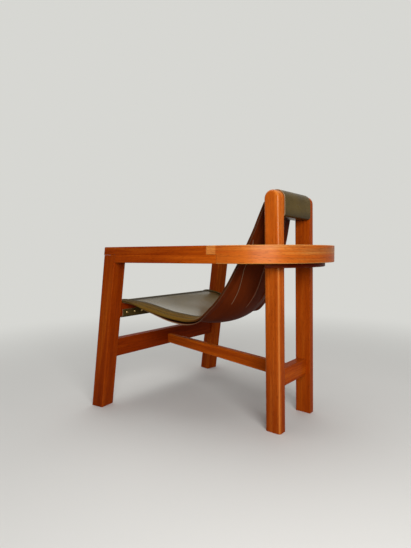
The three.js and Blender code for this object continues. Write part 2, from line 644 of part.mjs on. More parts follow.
function slingStations() {
  const front = seatRailWrap();
  const head = headRailWrap();
  const edge = slingLine(EDGE_SAG, EDGE_LOW_Y, EDGE_SEAT_LEAVE, EDGE_SEAT_FLAT,
    EDGE_BACK_LEAVE, new THREE.Vector2(EDGE_HEAD_DEPTH, EDGE_HEAD_RISE));
  const centre = slingLine(CENTRE_SAG, CENTRE_LOW_Y, CENTRE_SEAT_LEAVE, CENTRE_SEAT_FLAT,
    CENTRE_BACK_LEAVE, new THREE.Vector2(CENTRE_HEAD_DEPTH, CENTRE_HEAD_RISE));
  const run = [front[front.length - 1], ...edge];
  const travel = [0];
  for (let i = 1; i < run.length; i += 1) travel.push(travel[i - 1] + run[i].distanceTo(run[i - 1]));
  const taper = (SLING_FRONT_HALF - SLING_HEAD_HALF) / travel[SEAT_STEPS + BACK_STEPS];
  const lipEnd = travel[SEAT_STEPS + BACK_STEPS / 4];
  const smooth = (value) => THREE.MathUtils.smoothstep(value, 0, LIP_FADE);
  const open = edge.map((point, i) => {
    const half = Math.max(SLING_HEAD_HALF, SLING_FRONT_HALF - taper * travel[i + 1]);
    const ahead = (run[i + 2] || point).clone().sub(run[i]).normalize();
    const drop = LIP_DROP * smooth(travel[i + 1]) * smooth(lipEnd - travel[i + 1]);
    return { edge: point, centre: centre[i], half, lip: new THREE.Vector2(ahead.y * drop, -ahead.x * drop) };
  });
  const flat = new THREE.Vector2();
  const closed = (points, half) => points.map((point) => ({ edge: point, centre: point, half, lip: flat }));
  return {
    all: [...closed(front, SLING_FRONT_HALF), ...open, ...closed(head, SLING_HEAD_HALF)],
    first: front.length,
    head: front.length + SEAT_STEPS + BACK_STEPS - 1,
  };
}

const stations = slingStations();

// Columns across the sling: the two hems and an even number of strips between them
const STRIPS = 6;

function columnShares(half) {
  const hem = 1 - HEM_WIDTH / half;
  const middle = [...Array(STRIPS + 1).keys()].map((index) => hem * (2 * index / STRIPS - 1));
  return [-1, ...middle, 1];
}

// The bucket: the middle hangs lower than the hems, the power sets how flat its bottom is,
// and beside the seat each hem bends down as a lip
function slingPoint(station, share) {
  const hem = 1 - HEM_WIDTH / station.half;
  const out = Math.abs(share);
  const point = station.centre.clone().lerp(station.edge, Math.min(1, out / hem) ** BUCKET_POWER);
  point.addScaledVector(station.lip, Math.max(0, (out - hem) / (1 - hem)) ** 2);
  return new THREE.Vector3(share * station.half, point.x, point.y);
}

const shares = stations.all.map((station) => columnShares(station.half));
const skin = stations.all.map((station, i) => shares[i].map((share) => slingPoint(station, share)));
const skinNormals = skin.map((row, i) => row.map((point, j) => {
  const across = row[Math.min(j + 1, row.length - 1)].clone().sub(row[Math.max(j - 1, 0)]);
  const ahead = skin[Math.min(i + 1, skin.length - 1)][j].clone().sub(skin[Math.max(i - 1, 0)][j]);
  return across.cross(ahead).normalize();
}));

// A point of the skin between two of its columns
function onSkin(i, share) {
  const row = shares[i];
  const j = Math.max(0, row.findIndex((value) => value >= share) - 1);
  const part = (share - row[j]) / (row[j + 1] - row[j]);
  return {
    point: skin[i][j].clone().lerp(skin[i][j + 1], part),
    normal: skinNormals[i][j].clone().lerp(skinNormals[i][j + 1], part).normalize(),
  };
}

// A closed layer between two heights above the skin, given by rows of sampled points
function layer(rows, lowOf, highOf) {
  const positions = [];
  const columns = rows[0].length;
  const put = (sample, height) => {
    positions.push(...sample.point.clone().addScaledVector(sample.normal, height).toArray());
  };
  rows.forEach((row, i) => row.forEach((sample) => put(sample, highOf(i))));
  rows.forEach((row, i) => row.forEach((sample) => put(sample, lowOf(i))));
  const top = (i, j) => i * columns + j;
  const bottom = (i, j) => (rows.length + i) * columns + j;
  const faces = [];
  const quad = (a, b, c, d) => faces.push(a, b, c, a, c, d);
  for (let i = 0; i + 1 < rows.length; i += 1) {
    for (let j = 0; j + 1 < columns; j += 1) {
      quad(top(i, j), top(i, j + 1), top(i + 1, j + 1), top(i + 1, j));
      quad(bottom(i, j), bottom(i + 1, j), bottom(i + 1, j + 1), bottom(i, j + 1));
    }
    quad(top(i, 0), top(i + 1, 0), bottom(i + 1, 0), bottom(i, 0));
    quad(top(i + 1, columns - 1), top(i, columns - 1), bottom(i, columns - 1), bottom(i + 1, columns - 1));
  }
  const end = rows.length - 1;
  for (let j = 0; j + 1 < columns; j += 1) {
    quad(top(0, j + 1), top(0, j), bottom(0, j), bottom(0, j + 1));
    quad(top(end, j), top(end, j + 1), bottom(end, j + 1), bottom(end, j));
  }
  const geometry = new THREE.BufferGeometry();
  geometry.setAttribute('position', new THREE.Float32BufferAttribute(positions, 3));
  geometry.setIndex(faces);
  geometry.computeVertexNormals();
  return geometry;
}

function rowsOf(first, last, sharesAt) {
  const rows = [];
  for (let i = first; i <= last; i += 1) rows.push(sharesAt(i).map((share) => onSkin(i, share)));
  return rows;
}

function flatLayer(rows, low, high) {
  return layer(rows, () => low, () => high);
}

const LINING_TOP = -FACE_THICK / 2 - JOINT_GAP;
const LINING_BOTTOM = LINING_TOP - LINING_THICK;

function slingFace() {
  const rows = rowsOf(0, stations.all.length - 1, (i) => shares[i]);
  const sheet = flatLayer(rows, -FACE_THICK / 2, FACE_THICK / 2);
  return carve(sheet, [...seatNails, ...headNails].map((place) => nailIn(place, JOINT_GAP)));
}

function slingLining() {
  return flatLayer(rowsOf(stations.first, stations.head, (i) => shares[i]), LINING_BOTTOM, LINING_TOP);
}

function slingHem(side) {
  const low = FACE_THICK / 2 + JOINT_GAP;
  const pair = (i) => (side > 0 ? shares[i].slice(-2) : shares[i].slice(0, 2));
  return flatLayer(rowsOf(stations.first, stations.head, pair), low, low + HEM_THICK);
}

// A dart stands out under the lining and dies away at the bottom of the back
function slingDart(x) {
  const bottomStep = stations.first + SEAT_STEPS + BACK_STEPS / 3;
  const topStep = stations.head - 1;
  const reach = Math.abs(x) + DART_FROM_EDGE;
  const wideEnough = (station, i) => i >= bottomStep && station.half > reach;
  const last = bottomStep + stations.all.slice(0, topStep + 1).filter(wideEnough).length - 1;
  const sides = (i) => [-1, 1].map((side) => (x + side * DART_WIDTH / 2) / stations.all[i].half);
  const rows = rowsOf(bottomStep, last, sides);
  const high = LINING_BOTTOM - DART_GAP;
  const depth = (i) => Math.min(DART_HEIGHT, DART_TIP_HEIGHT + (DART_HEIGHT - DART_TIP_HEIGHT) * i / 3);
  return layer(rows, (i) => high - depth(i), () => high);
}

// Assembly

const leg = frontLeg();
const arm = straightArm();
const post = rearPost();
addPiece('front_leg_left', leg, wood);
addPiece('front_leg_right', mirrored(leg), wood);
addPiece('arm_left', arm, wood);
addPiece('arm_right', mirrored(arm), wood);
addPiece('arm_bow', bow(), wood);
addPiece('bow_plate', bowPlate(), wood);
addPiece('rear_post_left', post, wood);
addPiece('rear_post_right', mirrored(post), wood);
addPiece('head_rail', headRail(), wood);
addPiece('rear_rail', rearRail(), wood);
addPiece('centre_stretcher', centreStretcher(), wood);
addPiece('front_stretcher', railBetweenLegs(FRONT_STRETCHER_Y, FRONT_STRETCHER_THICK,
  FRONT_STRETCHER_BOTTOM, FRONT_STRETCHER_TOP, RAIL_EASE, [spineFrontTenon(JOINT_GAP)]), wood);
addPiece('seat_rail', railBetweenLegs(SEAT_RAIL_Y, SEAT_RAIL_THICK, SEAT_RAIL_BOTTOM, SEAT_RAIL_TOP,
  SEAT_RAIL_ROUND, seatNails.map((place) => nailIn(place, JOINT_GAP))), wood);

dowelPlaces.forEach((place, index) => {
  const dowel = legDowel(place, 0);
  addPiece(`leg_dowel_left_${index + 1}`, dowel, innerWood);
  addPiece(`leg_dowel_right_${index + 1}`, mirrored(dowel), innerWood);
});

screwPlaces.forEach((place, index) => {
  addPiece(`plate_screw_${index + 1}`, screw(0), steel).position.set(place.x, place.y, PLATE_BOTTOM);
});

addPiece('sling_face', slingFace(), faceLeather);
addPiece('sling_lining', slingLining(), liningLeather);
addPiece('sling_hem_left', slingHem(1), faceLeather);
addPiece('sling_hem_right', slingHem(-1), faceLeather);
for (let index = 0; index < DART_COUNT; index += 1) {
  addPiece(`sling_dart_${index + 1}`, slingDart((index - (DART_COUNT - 1) / 2) * DART_SPACING), cutLeather);
}

function addNails(name, places) {
  places.forEach((place, index) => {
    const mesh = addPiece(`${name}_${index + 1}`, nail(0), brass);
    mesh.rotation.x = place.turn;
    mesh.position.set(place.x, place.y, place.z);
  });
}

addNails('seat_nail', seatNails);
addNails('head_nail', headNails);

// The origin lies on the floor, in the middle of the chair's box
const box = new THREE.Box3().setFromObject(chair);
chair.position.y = -(box.min.y + box.max.y) / 2;

export default chair;
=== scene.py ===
"""Leather sling lounge chair: finishes for its wooden frame, and the sewn leather sling in full detail."""

import json
import math

import bpy
import numpy as np
from bpy.props import FloatProperty, FloatVectorProperty, IntProperty, PointerProperty
from mathutils import Matrix, Vector, noise
from mathutils.geometry import interpolate_bezier

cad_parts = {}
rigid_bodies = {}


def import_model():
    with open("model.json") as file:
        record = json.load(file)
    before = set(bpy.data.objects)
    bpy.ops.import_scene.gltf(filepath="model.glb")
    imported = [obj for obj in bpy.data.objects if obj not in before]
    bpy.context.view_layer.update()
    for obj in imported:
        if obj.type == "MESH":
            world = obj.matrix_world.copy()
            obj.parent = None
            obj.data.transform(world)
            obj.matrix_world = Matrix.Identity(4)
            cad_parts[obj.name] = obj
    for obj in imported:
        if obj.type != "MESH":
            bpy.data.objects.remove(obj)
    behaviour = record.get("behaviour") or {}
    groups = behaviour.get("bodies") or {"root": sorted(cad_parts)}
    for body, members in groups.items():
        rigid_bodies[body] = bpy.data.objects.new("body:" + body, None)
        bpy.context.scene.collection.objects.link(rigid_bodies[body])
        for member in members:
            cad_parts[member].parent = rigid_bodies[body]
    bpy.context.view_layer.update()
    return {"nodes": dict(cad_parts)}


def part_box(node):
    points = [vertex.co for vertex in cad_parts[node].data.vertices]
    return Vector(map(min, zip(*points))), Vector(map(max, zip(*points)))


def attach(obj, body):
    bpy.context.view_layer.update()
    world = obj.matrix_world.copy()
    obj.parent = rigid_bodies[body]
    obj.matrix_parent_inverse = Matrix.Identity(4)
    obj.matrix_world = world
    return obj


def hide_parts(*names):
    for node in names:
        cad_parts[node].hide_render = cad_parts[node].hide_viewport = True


bl_info = {
    "name": "Sling Lounge Chair",
    "version": (1, 0, 0),
    "blender": (4, 5, 0),
    "location": "View3D > Sidebar > Chair",
    "description": "Dresses the frame of a sling lounge chair in wood, leather, brass and steel",
    "category": "Object",
}

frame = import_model()
MM = 0.001
ACROSS, BACK, UP = (1, 0, 0), (0, 1, 0), (0, 0, 1)

SEAT_RAIL_LOW, SEAT_RAIL_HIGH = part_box("seat_rail")
POST_LOW, POST_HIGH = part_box("rear_post_left")
HEAD_RAIL_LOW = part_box("head_rail")[0]
BOW_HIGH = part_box("arm_bow")[1]
FACE_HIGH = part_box("sling_face")[1]

# The ways in which the timber runs
ARM_TURN = math.radians(9)
LEG_LEAN = Vector((-6.5, 90, 600)).normalized()
POST_LEAN_SLOPE = 9 / 775
SPINE_SLOPE = Vector((0, 1, -0.069)).normalized()
BOW_RADIUS = 278.5 * MM
BOW_CENTRE_Y = BOW_HIGH.y - BOW_RADIUS


def setting(make, **options):
    """A kind of property that is stated by its name, description and default."""
    def state(name, description, default):
        return make(name=name, description=description, default=default, **options)
    return state


colour = setting(FloatVectorProperty, subtype="COLOR", size=3, min=0, max=1)
length = setting(FloatProperty, unit="LENGTH", min=0, precision=4)
factor = setting(FloatProperty, subtype="FACTOR", min=0, max=1)
amount = setting(FloatProperty, min=0)
power = setting(FloatProperty, unit="POWER", min=0)
position = setting(FloatVectorProperty, subtype="TRANSLATION")
pair = setting(FloatVectorProperty, unit="LENGTH", size=2)


class TimberFinish(bpy.types.PropertyGroup):
    """Oiled hardwood of the frame"""

    dark: colour("Dark streaks", "Colour of the late growth", (0.25, 0.031, 0.0015))
    middle: colour("Body", "Main colour of the oiled wood", (0.44, 0.072, 0.003))
    light: colour("Light streaks", "Colour of the early growth", (0.6, 0.145, 0.01))
    pale: colour("Pale boards", "Colour of the palest boards", (0.72, 0.33, 0.08))
    bare: colour("Dowels", "Colour of the bare dowel wood", (0.55, 0.3, 0.12))
    streak: length("Streak width", "Width of a growth streak across the grain", 0.011)
    fibre: length("Fibre width", "Width of a fibre across the grain", 0.0014)
    gloss: factor("Roughness", "Roughness of the oiled surface", 0.32)
    ease: length("Worn edge", "How far the wear of an edge reaches", 0.004)
    layer_line: length("Layer line", "Height of the glue line between the arm's two layers", 0.572)


class SlingCut(bpy.types.PropertyGroup):
    """Sizes of the sling and of its layers"""

    face_thick: length("Face", "Thickness of the face leather", 0.0035)
    lining_thick: length("Lining", "Thickness of the lining leather", 0.002)
    hem_thick: length("Hem", "Thickness of the turned hem", 0.002)
    hem_width: length("Hem width", "Width of the turned hem", 0.034)
    layer_gap: length("Layer gap", "Room between two layers of leather", 0.0003)
    rail_gap: length("Rail gap", "Room between the leather and the wood under it", 0.0005)
    rail_round: length("Rail rounding", "Rounding of the rails under the leather", 0.008)
    head_depth: length("Head rail depth", "Depth of the round-topped head rail", 0.055)
    front_flap: length("Front flap", "Height of the flap nailed behind the seat rail", 0.028)
    head_flap: length("Head flap", "Height of the flap nailed before the head rail", 0.030)
    post_play: length("Post play", "Room between the leather and a post", 0.0015)
    hem_sag: length("Hem sag", "How far the hems hang below the rail", 0.041)
    lip_drop: length("Lip", "How far a hem bends down beside the seat", 0.014)
    rail_fullness: length("Rail fullness", "How far the leather stands off the top of the seat rail", 0.0045)
    centre_sag: length("Centre sag", "How far the middle hangs below the rail", 0.08)
    bucket_power: FloatProperty(name="Bucket", description="How flat the bottom of the bucket is",
                                default=2.2, min=1, max=6)
    lining_droop: length("Lining droop", "How far the lining's free edge hangs from the face", 0.0145)
    fold_height: length("Soft folds", "Height of the soft folds in the seat", 0.0028)
    dart_spacing: length("Dart spacing", "Distance between two darts", 0.072)
    dart_pinch: length("Dart pinch", "Depth of the groove that a dart pulls", 0.0022)
    dart_height: length("Dart height", "How far a dart stands out behind", 0.005)
    dart_width: length("Dart width", "Thickness of a dart's two plies", 0.003)
    dart_count: IntProperty(name="Darts", description="Number of darts in the back", default=4, min=0)
    stitch_pitch: length("Stitch pitch", "Distance from stitch to stitch", 0.0062)
    stitch_long: length("Stitch length", "Length of one stitch", 0.0046)
    thread: length("Thread", "Thickness of the sewing thread", 0.001)


class LeatherFinish(bpy.types.PropertyGroup):
    """Colours of the sling's leathers"""

    # Dark olive also serves as painted shade beside the hem, over the seat rail and under the head roll.
    olive_dark: colour("Olive, dark", "Face leather in its creases", (0.045, 0.029, 0.007))
    olive: colour("Olive", "Main colour of the face leather", (0.09, 0.056, 0.008))
    olive_light: colour("Olive, light", "Face leather where it is rubbed", (0.14, 0.092, 0.018))
    # The worn colour is partly real wear and partly a painted sheen of reflected light.
    worn: colour("Worn seat", "Face leather where one sits", (0.21, 0.168, 0.1))
    hem: colour("Hem", "Golden olive of the turned hem", (0.17, 0.078, 0.006))
    lining_dark: colour("Lining, dark", "Lining in its hollows", (0.055, 0.008, 0.0015))
    lining: colour("Lining", "Red-brown of the lining", (0.12, 0.018, 0.0015))
    cut: colour("Cut edge", "Raw edge of the leather", (0.42, 0.27, 0.15))
    thread: colour("Thread", "Waxed sewing thread", (0.3, 0.21, 0.09))
    pebble: length("Pebble", "Width of one pebble of the grain", 0.0016)
    gloss: factor("Roughness", "Roughness of the face leather", 0.2)


class MetalFinish(bpy.types.PropertyGroup):
    """Nails and screws"""

    brass: colour("Brass", "Domed nails", (0.58, 0.4, 0.16))
    steel: colour("Steel", "Countersunk screws", (0.5, 0.5, 0.48))
    nail_radius: length("Nail head radius", "Radius of a nail's domed head", 0.005)
    nail_height: length("Nail head height", "Height of a nail's domed head", 0.003)
    nail_shank: length("Nail shank", "Radius of a nail's shank", 0.0011)


class Studio(bpy.types.PropertyGroup):
    """Floor, light and camera"""

    floor: colour("Floor", "Colour of the floor", (0.72, 0.71, 0.68))
    bounce: colour("Floor bounce", "Colour that the floor throws back on the chair", (0.36, 0.34, 0.32))
    backdrop: colour("Backdrop", "Colour behind the chair", (0.68, 0.68, 0.65))
    floor_fade: pair("Floor fade", "Where the floor starts and ends fading", (0.45, 2.5))
    ambient: amount("Ambient", "Strength of the light from all round", 0.22)
    key_power: power("Key light", "Power of the large key light", 39)
    key_place: position("Key place", "Where the key light stands", (1.38, 1.58, 1.1))
    key_size: pair("Key size", "Width and height of the key light", (1.2, 1.1))
    fill_power: power("Fill light", "Power of the fill light", 32)
    fill_place: position("Fill place", "Where the fill light stands", (-0.4, -0.5, 2.6))
    fill_size: pair("Fill size", "Width and height of the fill light", (2.6, 2.6))
    camera_place: position("Camera place", "Where the camera stands", (1.21135, 0.899893, 0.5755))
    camera_ahead: FloatVectorProperty(name="Camera ahead", description="The way the camera looks",
                                      default=(-0.76635, -0.64031, -0.05197), subtype="DIRECTION")
    camera_roll: FloatProperty(name="Camera roll", description="Turn of the camera about its view",
                               default=math.radians(-0.3), subtype="ANGLE")
    lens: FloatProperty(name="Lens", description="Focal length in millimetres", default=25.95, min=1)


PROPERTY_GROUPS = {
    "chair_timber": TimberFinish,
    "chair_sling": SlingCut,
    "chair_leather": LeatherFinish,
    "chair_metal": MetalFinish,
    "chair_studio": Studio,
}


class Wire:
    """One output of a shader node, with the arithmetic of numbers"""

    def __init__(self, nodes, socket):
        self.nodes = nodes
        self.socket = socket

    def __add__(self, other):
        return self.nodes.maths("ADD", self, other)

    def __sub__(self, other):
        return self.nodes.maths("SUBTRACT", self, other)

    def __rsub__(self, other):
        return self.nodes.maths("SUBTRACT", other, self)

    def __mul__(self, other):
        return self.nodes.maths("MULTIPLY", self, other)

    def __truediv__(self, other):
        return self.nodes.maths("DIVIDE", self, other)

    def __pow__(self, other):
        return self.nodes.maths("POWER", self, other)

    def __abs__(self):
        return self.nodes.maths("ABSOLUTE", self)

    __radd__ = __add__
    __rmul__ = __mul__


class Nodes:
    """A node tree that is written as expressions on wires"""

    def __init__(self, tree):
        self.tree = tree

    def node(self, kind, settings=None, sockets=None, output=0):
        made = self.tree.nodes.new(kind)
        for key, value in (settings or {}).items():
            if key == "stops":
                set_stops(made.color_ramp, value)
            else:
                setattr(made, key, value)
        for key, value in (sockets or {}).items():
            self.feed(made.inputs[key], value)
        return Wire(self, made.outputs[output]) if made.outputs else None

    def feed(self, socket, value):
        if isinstance(value, Wire):
            self.tree.links.new(value.socket, socket)
        elif hasattr(value, "__len__") and socket.type == "RGBA":
            socket.default_value = (*value, 1)
        else:
            socket.default_value = value

    def maths(self, operation, *values):
        return self.node("ShaderNodeMath", {"operation": operation}, dict(enumerate(values)))

    def vector(self, x, y, z):
        return self.node("ShaderNodeCombineXYZ", None, {"X": x, "Y": y, "Z": z})

    def dot(self, first, second):
        settings = {"operation": "DOT_PRODUCT"}
        return self.node("ShaderNodeVectorMath", settings, {0: first, 1: second}, "Value")

    def smooth_step(self, value, low, high):
        settings = {"interpolation_type": "SMOOTHSTEP", "clamp": True}
        sockets = {"Value": value, "From Min": low, "From Max": high}
        return self.node("ShaderNodeMapRange", settings, sockets)

    def fall(self, value, low, high):
        """One below the low value and nought above the high one."""
        return 1 - self.smooth_step(value, low, high)

    def place(self):
        return self.node("ShaderNodeTexCoord", None, None, "Object")

    def normal(self):
        return self.node("ShaderNodeNewGeometry", None, None, "Normal")

    def cloud(self, vector, scale=1.0, detail=2.0, roughness=0.5):
        sockets = {"Vector": vector, "Scale": scale, "Detail": detail, "Roughness": roughness}
        return self.node("ShaderNodeTexNoise", None, sockets, "Fac")

    def mix(self, factor, first, second, blend="MIX"):
        settings = {"data_type": "RGBA", "blend_type": blend}
        return self.node("ShaderNodeMix", settings, {0: factor, 6: first, 7: second}, 2)

    def layers(self, body, *coats):
        """A body with colours laid over it one after another, each as far as it covers."""
        for cover, shade in coats:
            body = self.mix(cover, body, shade)
        return body

    def ramp(self, value, stops):
        return self.node("ShaderNodeValToRGB", {"stops": stops}, {"Fac": value}, "Color")

    def two_tone(self, value, deep, high):
        return self.ramp(value, [(0.3, deep), (0.7, high)])

    def attribute(self, name):
        return self.node("ShaderNodeAttribute", {"attribute_name": name}, None, "Fac")

    def bump(self, height, distance, strength=1.0, normal=None):
        sockets = {"Height": height, "Distance": distance, "Strength": strength}
        if normal:
            sockets["Normal"] = normal
        return self.node("ShaderNodeBump", None, sockets)

    def seen_rays(self):
        """One for what the camera sees, straight on or in a shiny or clear surface, and nought for light."""
        camera, shiny, clear = (self.node("ShaderNodeLightPath", None, None, f"Is {kind} Ray")
                                for kind in ("Camera", "Glossy", "Transmission"))
        return self.maths("MAXIMUM", self.maths("MAXIMUM", camera, shiny), clear)


class Finish(Nodes):
    """A material whose surface is written as expressions on wires"""

    def __init__(self, name):
        self.material = bpy.data.materials.new(name)
        self.material.use_nodes = True
        super().__init__(self.material.node_tree)
        self.shader = self.tree.nodes["Principled BSDF"]

    def surface(self, body, rough, relief=None, **values):
        """The material with its colour, its roughness, and its relief as what a bump is made of."""
        if relief:
            values["Normal"] = self.bump(*relief)
        for key, value in {"Base_Color": body, "Roughness": rough, **values}.items():
            self.feed(self.shader.inputs[key.replace("_", " ")], value)
        return self.material


def set_stops(ramp, stops):
    while len(ramp.elements) < len(stops):
        ramp.elements.new(1)
    for element, (place, shade) in zip(ramp.elements, stops):
        element.position = place
        element.color = (*shade, 1)


def between(first, second, share):
    return tuple(a + (b - a) * share for a, b in zip(first, second))


def shaded(shade, share):
    return tuple(part * share for part in shade)


# Timber


STEEP = 0.5


def straight_grain(finish, vector, along):
    """Parts of a vector along a piece, across it and through it."""
    side = along.cross(Vector(UP))
    if side.length < STEEP:
        side = along.cross(Vector(ACROSS))
    side.normalize()
    axes = (along, side, along.cross(side).normalized())
    return [finish.dot(vector, tuple(axis)) for axis in axes]


def bent_grain(finish, place):
    """Grain that follows the arc of the bow."""
    x, z = finish.dot(place, ACROSS), finish.dot(place, UP)
    y = finish.dot(place, BACK) - BOW_CENTRE_Y
    reach = finish.maths("SQRT", x * x + y * y)
    return [finish.maths("ARCTAN2", x, y) * BOW_RADIUS, reach, z]


def rounded_edges(finish, normal, along):
    """Where the edges of a piece are rounded over."""
    if along is None:
        rise = finish.dot(normal, UP)
        squareness = [abs(rise), finish.maths("SQRT", 1 - rise * rise)]
        slight, full = 0.03, 0.2
    else:
        squareness = [abs(part) for part in straight_grain(finish, normal, along)]
        slight, full = 0.0, 0.3
    most = squareness[0]
    for other in squareness[1:]:
        most = finish.maths("MAXIMUM", most, other)
    return finish.smooth_step(1 - most, slight, full)


def timber(name, along, seed, tones, paleness, polish_and_highlight):
    """Oiled hardwood. Tones make places of the piece lighter or darker, partly as painted light and shade.
    Only the bow has no way along.
    """
    look = bpy.context.scene.chair_timber
    finish = Finish(name)
    bent = along is None
    place, normal = finish.place(), finish.normal()
    run, side, rise = bent_grain(finish, place) if bent else straight_grain(finish, place, along)
    sway = finish.cloud(finish.vector(run * 2.2, side * 9, rise * 9), detail=1) * 0.03
    side = side + sway + seed * 0.73
    rise = rise + sway * 0.7 + seed * 0.41

    def streaks(width, stretch, detail):
        return finish.cloud(finish.vector(run / (width * stretch), side / width, rise / width), detail=detail)

    broad = streaks(look.streak * 3.2, 14, 2)
    narrow = streaks(look.streak, 34, 3)
    fibre = streaks(look.fibre, 60, 2)
    pores = finish.smooth_step(streaks(look.fibre * 0.5, 26, 0), 0.64, 0.74)
    lines = finish.fall(abs(narrow - 0.5), 0.012, 0.06)
    figure = broad * 0.55 + narrow * 0.38 + fibre * 0.22 - 0.075
    shades = (look.dark, look.middle, look.light, look.pale)
    stops = zip((0.28, 0.5, 0.74), shades, shades[1:])
    body = finish.ramp(figure, [(stop, between(deep, high, paleness)) for stop, deep, high in stops])
    if bent:
        body = finish.mix(bow_tongue(finish, place) * 0.45, body, look.pale)
    body = finish.layers(body, (lines * 0.27, look.dark), (pores * 0.55, shaded(look.dark, 0.45)))
    tone = tones(finish, place)
    channels = {"Red": tone, "Green": tone ** 1.6, "Blue": tone ** 2}
    board = finish.node("ShaderNodeCombineColor", None, channels, "Color")
    body = finish.mix(1.0, body, board, "MULTIPLY")

    eased = finish.node("ShaderNodeBevel", {"samples": 4}, {"Radius": look.ease})
    wear = finish.smooth_step(1 - finish.dot(normal, eased), 0.015, 0.14)
    worn = wear * finish.smooth_step(finish.cloud(place, 38, 3), 0.35, 0.7)
    rounded = rounded_edges(finish, normal, along)
    # Rounded edges are lightened towards pale: partly polish wear and partly a painted highlight.
    edge = look.pale if bent else between(look.light, look.pale, 0.4)
    body = finish.layers(body, (worn * 0.5, look.light), (rounded * polish_and_highlight, edge))
    if bent:
        shine, haze = tone ** 2, 0.3
    else:
        shine, haze = rounded * 0.8 + 0.2, 0.2
        end = finish.smooth_step(abs(finish.dot(normal, tuple(along))), 0.86, 0.97)
        rings = finish.cloud(finish.vector(side * 260, rise * 90, 0.5), detail=3)
        ends = finish.two_tone(rings, shaded(look.dark, 0.4), look.middle)
        body = finish.mix(end * 0.75, body, ends)
    rough = look.gloss + fibre * 0.1 + pores * 0.15 - worn * 0.06
    height = fibre * 0.6 - pores * 0.8 - lines * 0.25
    return finish.surface(body, rough, (height, 0.00035, 0.55, eased), Specular_IOR_Level=0.02,
                          Coat_Weight=shine * (polish_and_highlight * 0.4), Coat_Roughness=haze)


def even_tone(level):
    return lambda finish, place: finish.cloud(place, 2.4, 1) * 0.3 + (level - 0.15)


def risen_tone(low, high):
    """Painted light and shade: darker at the floor and lighter at the top, as the light falls on the posts.
    """
    def tone(finish, place):
        rise = finish.smooth_step(finish.dot(place, UP), POST_LOW.z, POST_HIGH.z)
        return even_tone(low)(finish, place) + rise * (high - low)
    return tone


def layered_tone(finish, place):
    """Two glued layers: the upper one darker, with a fine line where they meet."""
    above = finish.dot(place, UP) - bpy.context.scene.chair_timber.layer_line
    upper = finish.smooth_step(above, -0.6 * MM, 0.6 * MM)
    glue = finish.fall(abs(above), 0.2 * MM, 1.2 * MM)
    near_bow = finish.smooth_step(finish.dot(place, BACK), BOW_CENTRE_Y - 0.2, BOW_CENTRE_Y)
    shade = 0.75 + near_bow * 0.24 - upper * 0.18 - glue * 0.22
    return finish.cloud(place, 3.1, 1) * 0.26 + shade


def bow_tone(finish, place):
    """Darker beside the splices, and painted shade round the back of the bow."""
    y = finish.dot(place, BACK) - BOW_CENTRE_Y
    by_splice = finish.fall(y, 0.05, 0.2) * (1 - bow_tongue(finish, place))
    painted_back_shade = finish.smooth_step(y, 0.17, BOW_RADIUS)
    return even_tone(0.88)(finish, place) - by_splice * 0.22 - painted_back_shade * 0.29


def bow_tongue(finish, place):
    """The bow's two straight tongues, which lap over the arms."""
    before = BOW_CENTRE_Y - finish.dot(place, BACK)
    x = abs(finish.dot(place, ACROSS))
    beyond = before * math.cos(ARM_TURN) + x * math.sin(ARM_TURN)
    return finish.smooth_step(beyond, -2 * MM, 6 * MM)


def boards():
    """The way the grain runs in each wooden piece, how light its board is, how pale and how polished. Board
    tones and paleness are partly painted light and shade.
    """
    arm = Vector((-math.sin(ARM_TURN), math.cos(ARM_TURN), 0))
    post = Vector((0, -POST_LEAN_SLOPE, 1)).normalized()
    across = Vector(ACROSS)
    mirror = Matrix.Scale(-1, 3, across)
    return {
        "front_leg_left": (LEG_LEAN, even_tone(0.67), 0, 0.05),
        "front_leg_right": (mirror @ LEG_LEAN, even_tone(0.8), 0, 0.05),
        "arm_left": (arm, layered_tone, 0, 0.06),
        "arm_right": (mirror @ arm, layered_tone, 0, 0.06),
        # The bow's high paleness is partly a painted highlight.
        "arm_bow": (None, bow_tone, 2.15, 1.2),
        # Painted shade: the plate is darkened as if in shadow under the bow.
        "bow_plate": (across, even_tone(0.2), 0, 0.03),
        # The near post's high polish partly paints the highlight on its rounded edges.
        "rear_post_left": (post, risen_tone(0.7, 1.26), 0.15, 0.65),
        "rear_post_right": (post, risen_tone(0.79, 0.96), 0, 0.3),
        "head_rail": (across, even_tone(0.92), 0, 0.2),
        "rear_rail": (across, even_tone(0.82), 0, 0.12),
        # Painted light: the centre stretcher is lightened as if lit from below.
        "centre_stretcher": (SPINE_SLOPE, even_tone(1.14), 0, 0.12),
        "front_stretcher": (across, even_tone(0.5), 0, 0.12),
        # Painted shade: the seat rail is darkened as if in shade under the leather roll.
        "seat_rail": (across, even_tone(0.5), 0, 0.1),
    }


SHARP_ANGLE = math.radians(38)


def rounded_shading():
    """A modifier's node group that shades a CAD solid smooth up to its sharp edges."""
    group = bpy.data.node_groups.new("rounded_shading", "GeometryNodeTree")
    group.interface.new_socket("Geometry", in_out="INPUT", socket_type="NodeSocketGeometry")
    group.interface.new_socket("Geometry", in_out="OUTPUT", socket_type="NodeSocketGeometry")
    nodes = Nodes(group)
    plain = nodes.node("GeometryNodeRemoveAttribute", None,
                       {"Geometry": nodes.node("NodeGroupInput"), "Name": "custom_normal"})
    weld = nodes.node("GeometryNodeMergeByDistance", None, {"Geometry": plain, "Distance": 0.01 * MM})
    smooth = nodes.node("GeometryNodeSetShadeSmooth", None, {"Geometry": weld, "Shade Smooth": True})
    angle = nodes.node("GeometryNodeInputMeshEdgeAngle", None, None, "Unsigned Angle")
    sharp = nodes.node("FunctionNodeCompare", None, {"A": angle, "B": SHARP_ANGLE}, "Result")
    edged = nodes.node("GeometryNodeSetShadeSmooth", {"domain": "EDGE"},
                       {"Geometry": smooth, "Selection": sharp, "Shade Smooth": False})
    nodes.node("NodeGroupOutput", None, {"Geometry": edged})
    return group


def modify(piece, name, kind, **values):
    modifier = piece.modifiers.new(name, kind)
    for key, value in values.items():
        setattr(modifier, key, value)


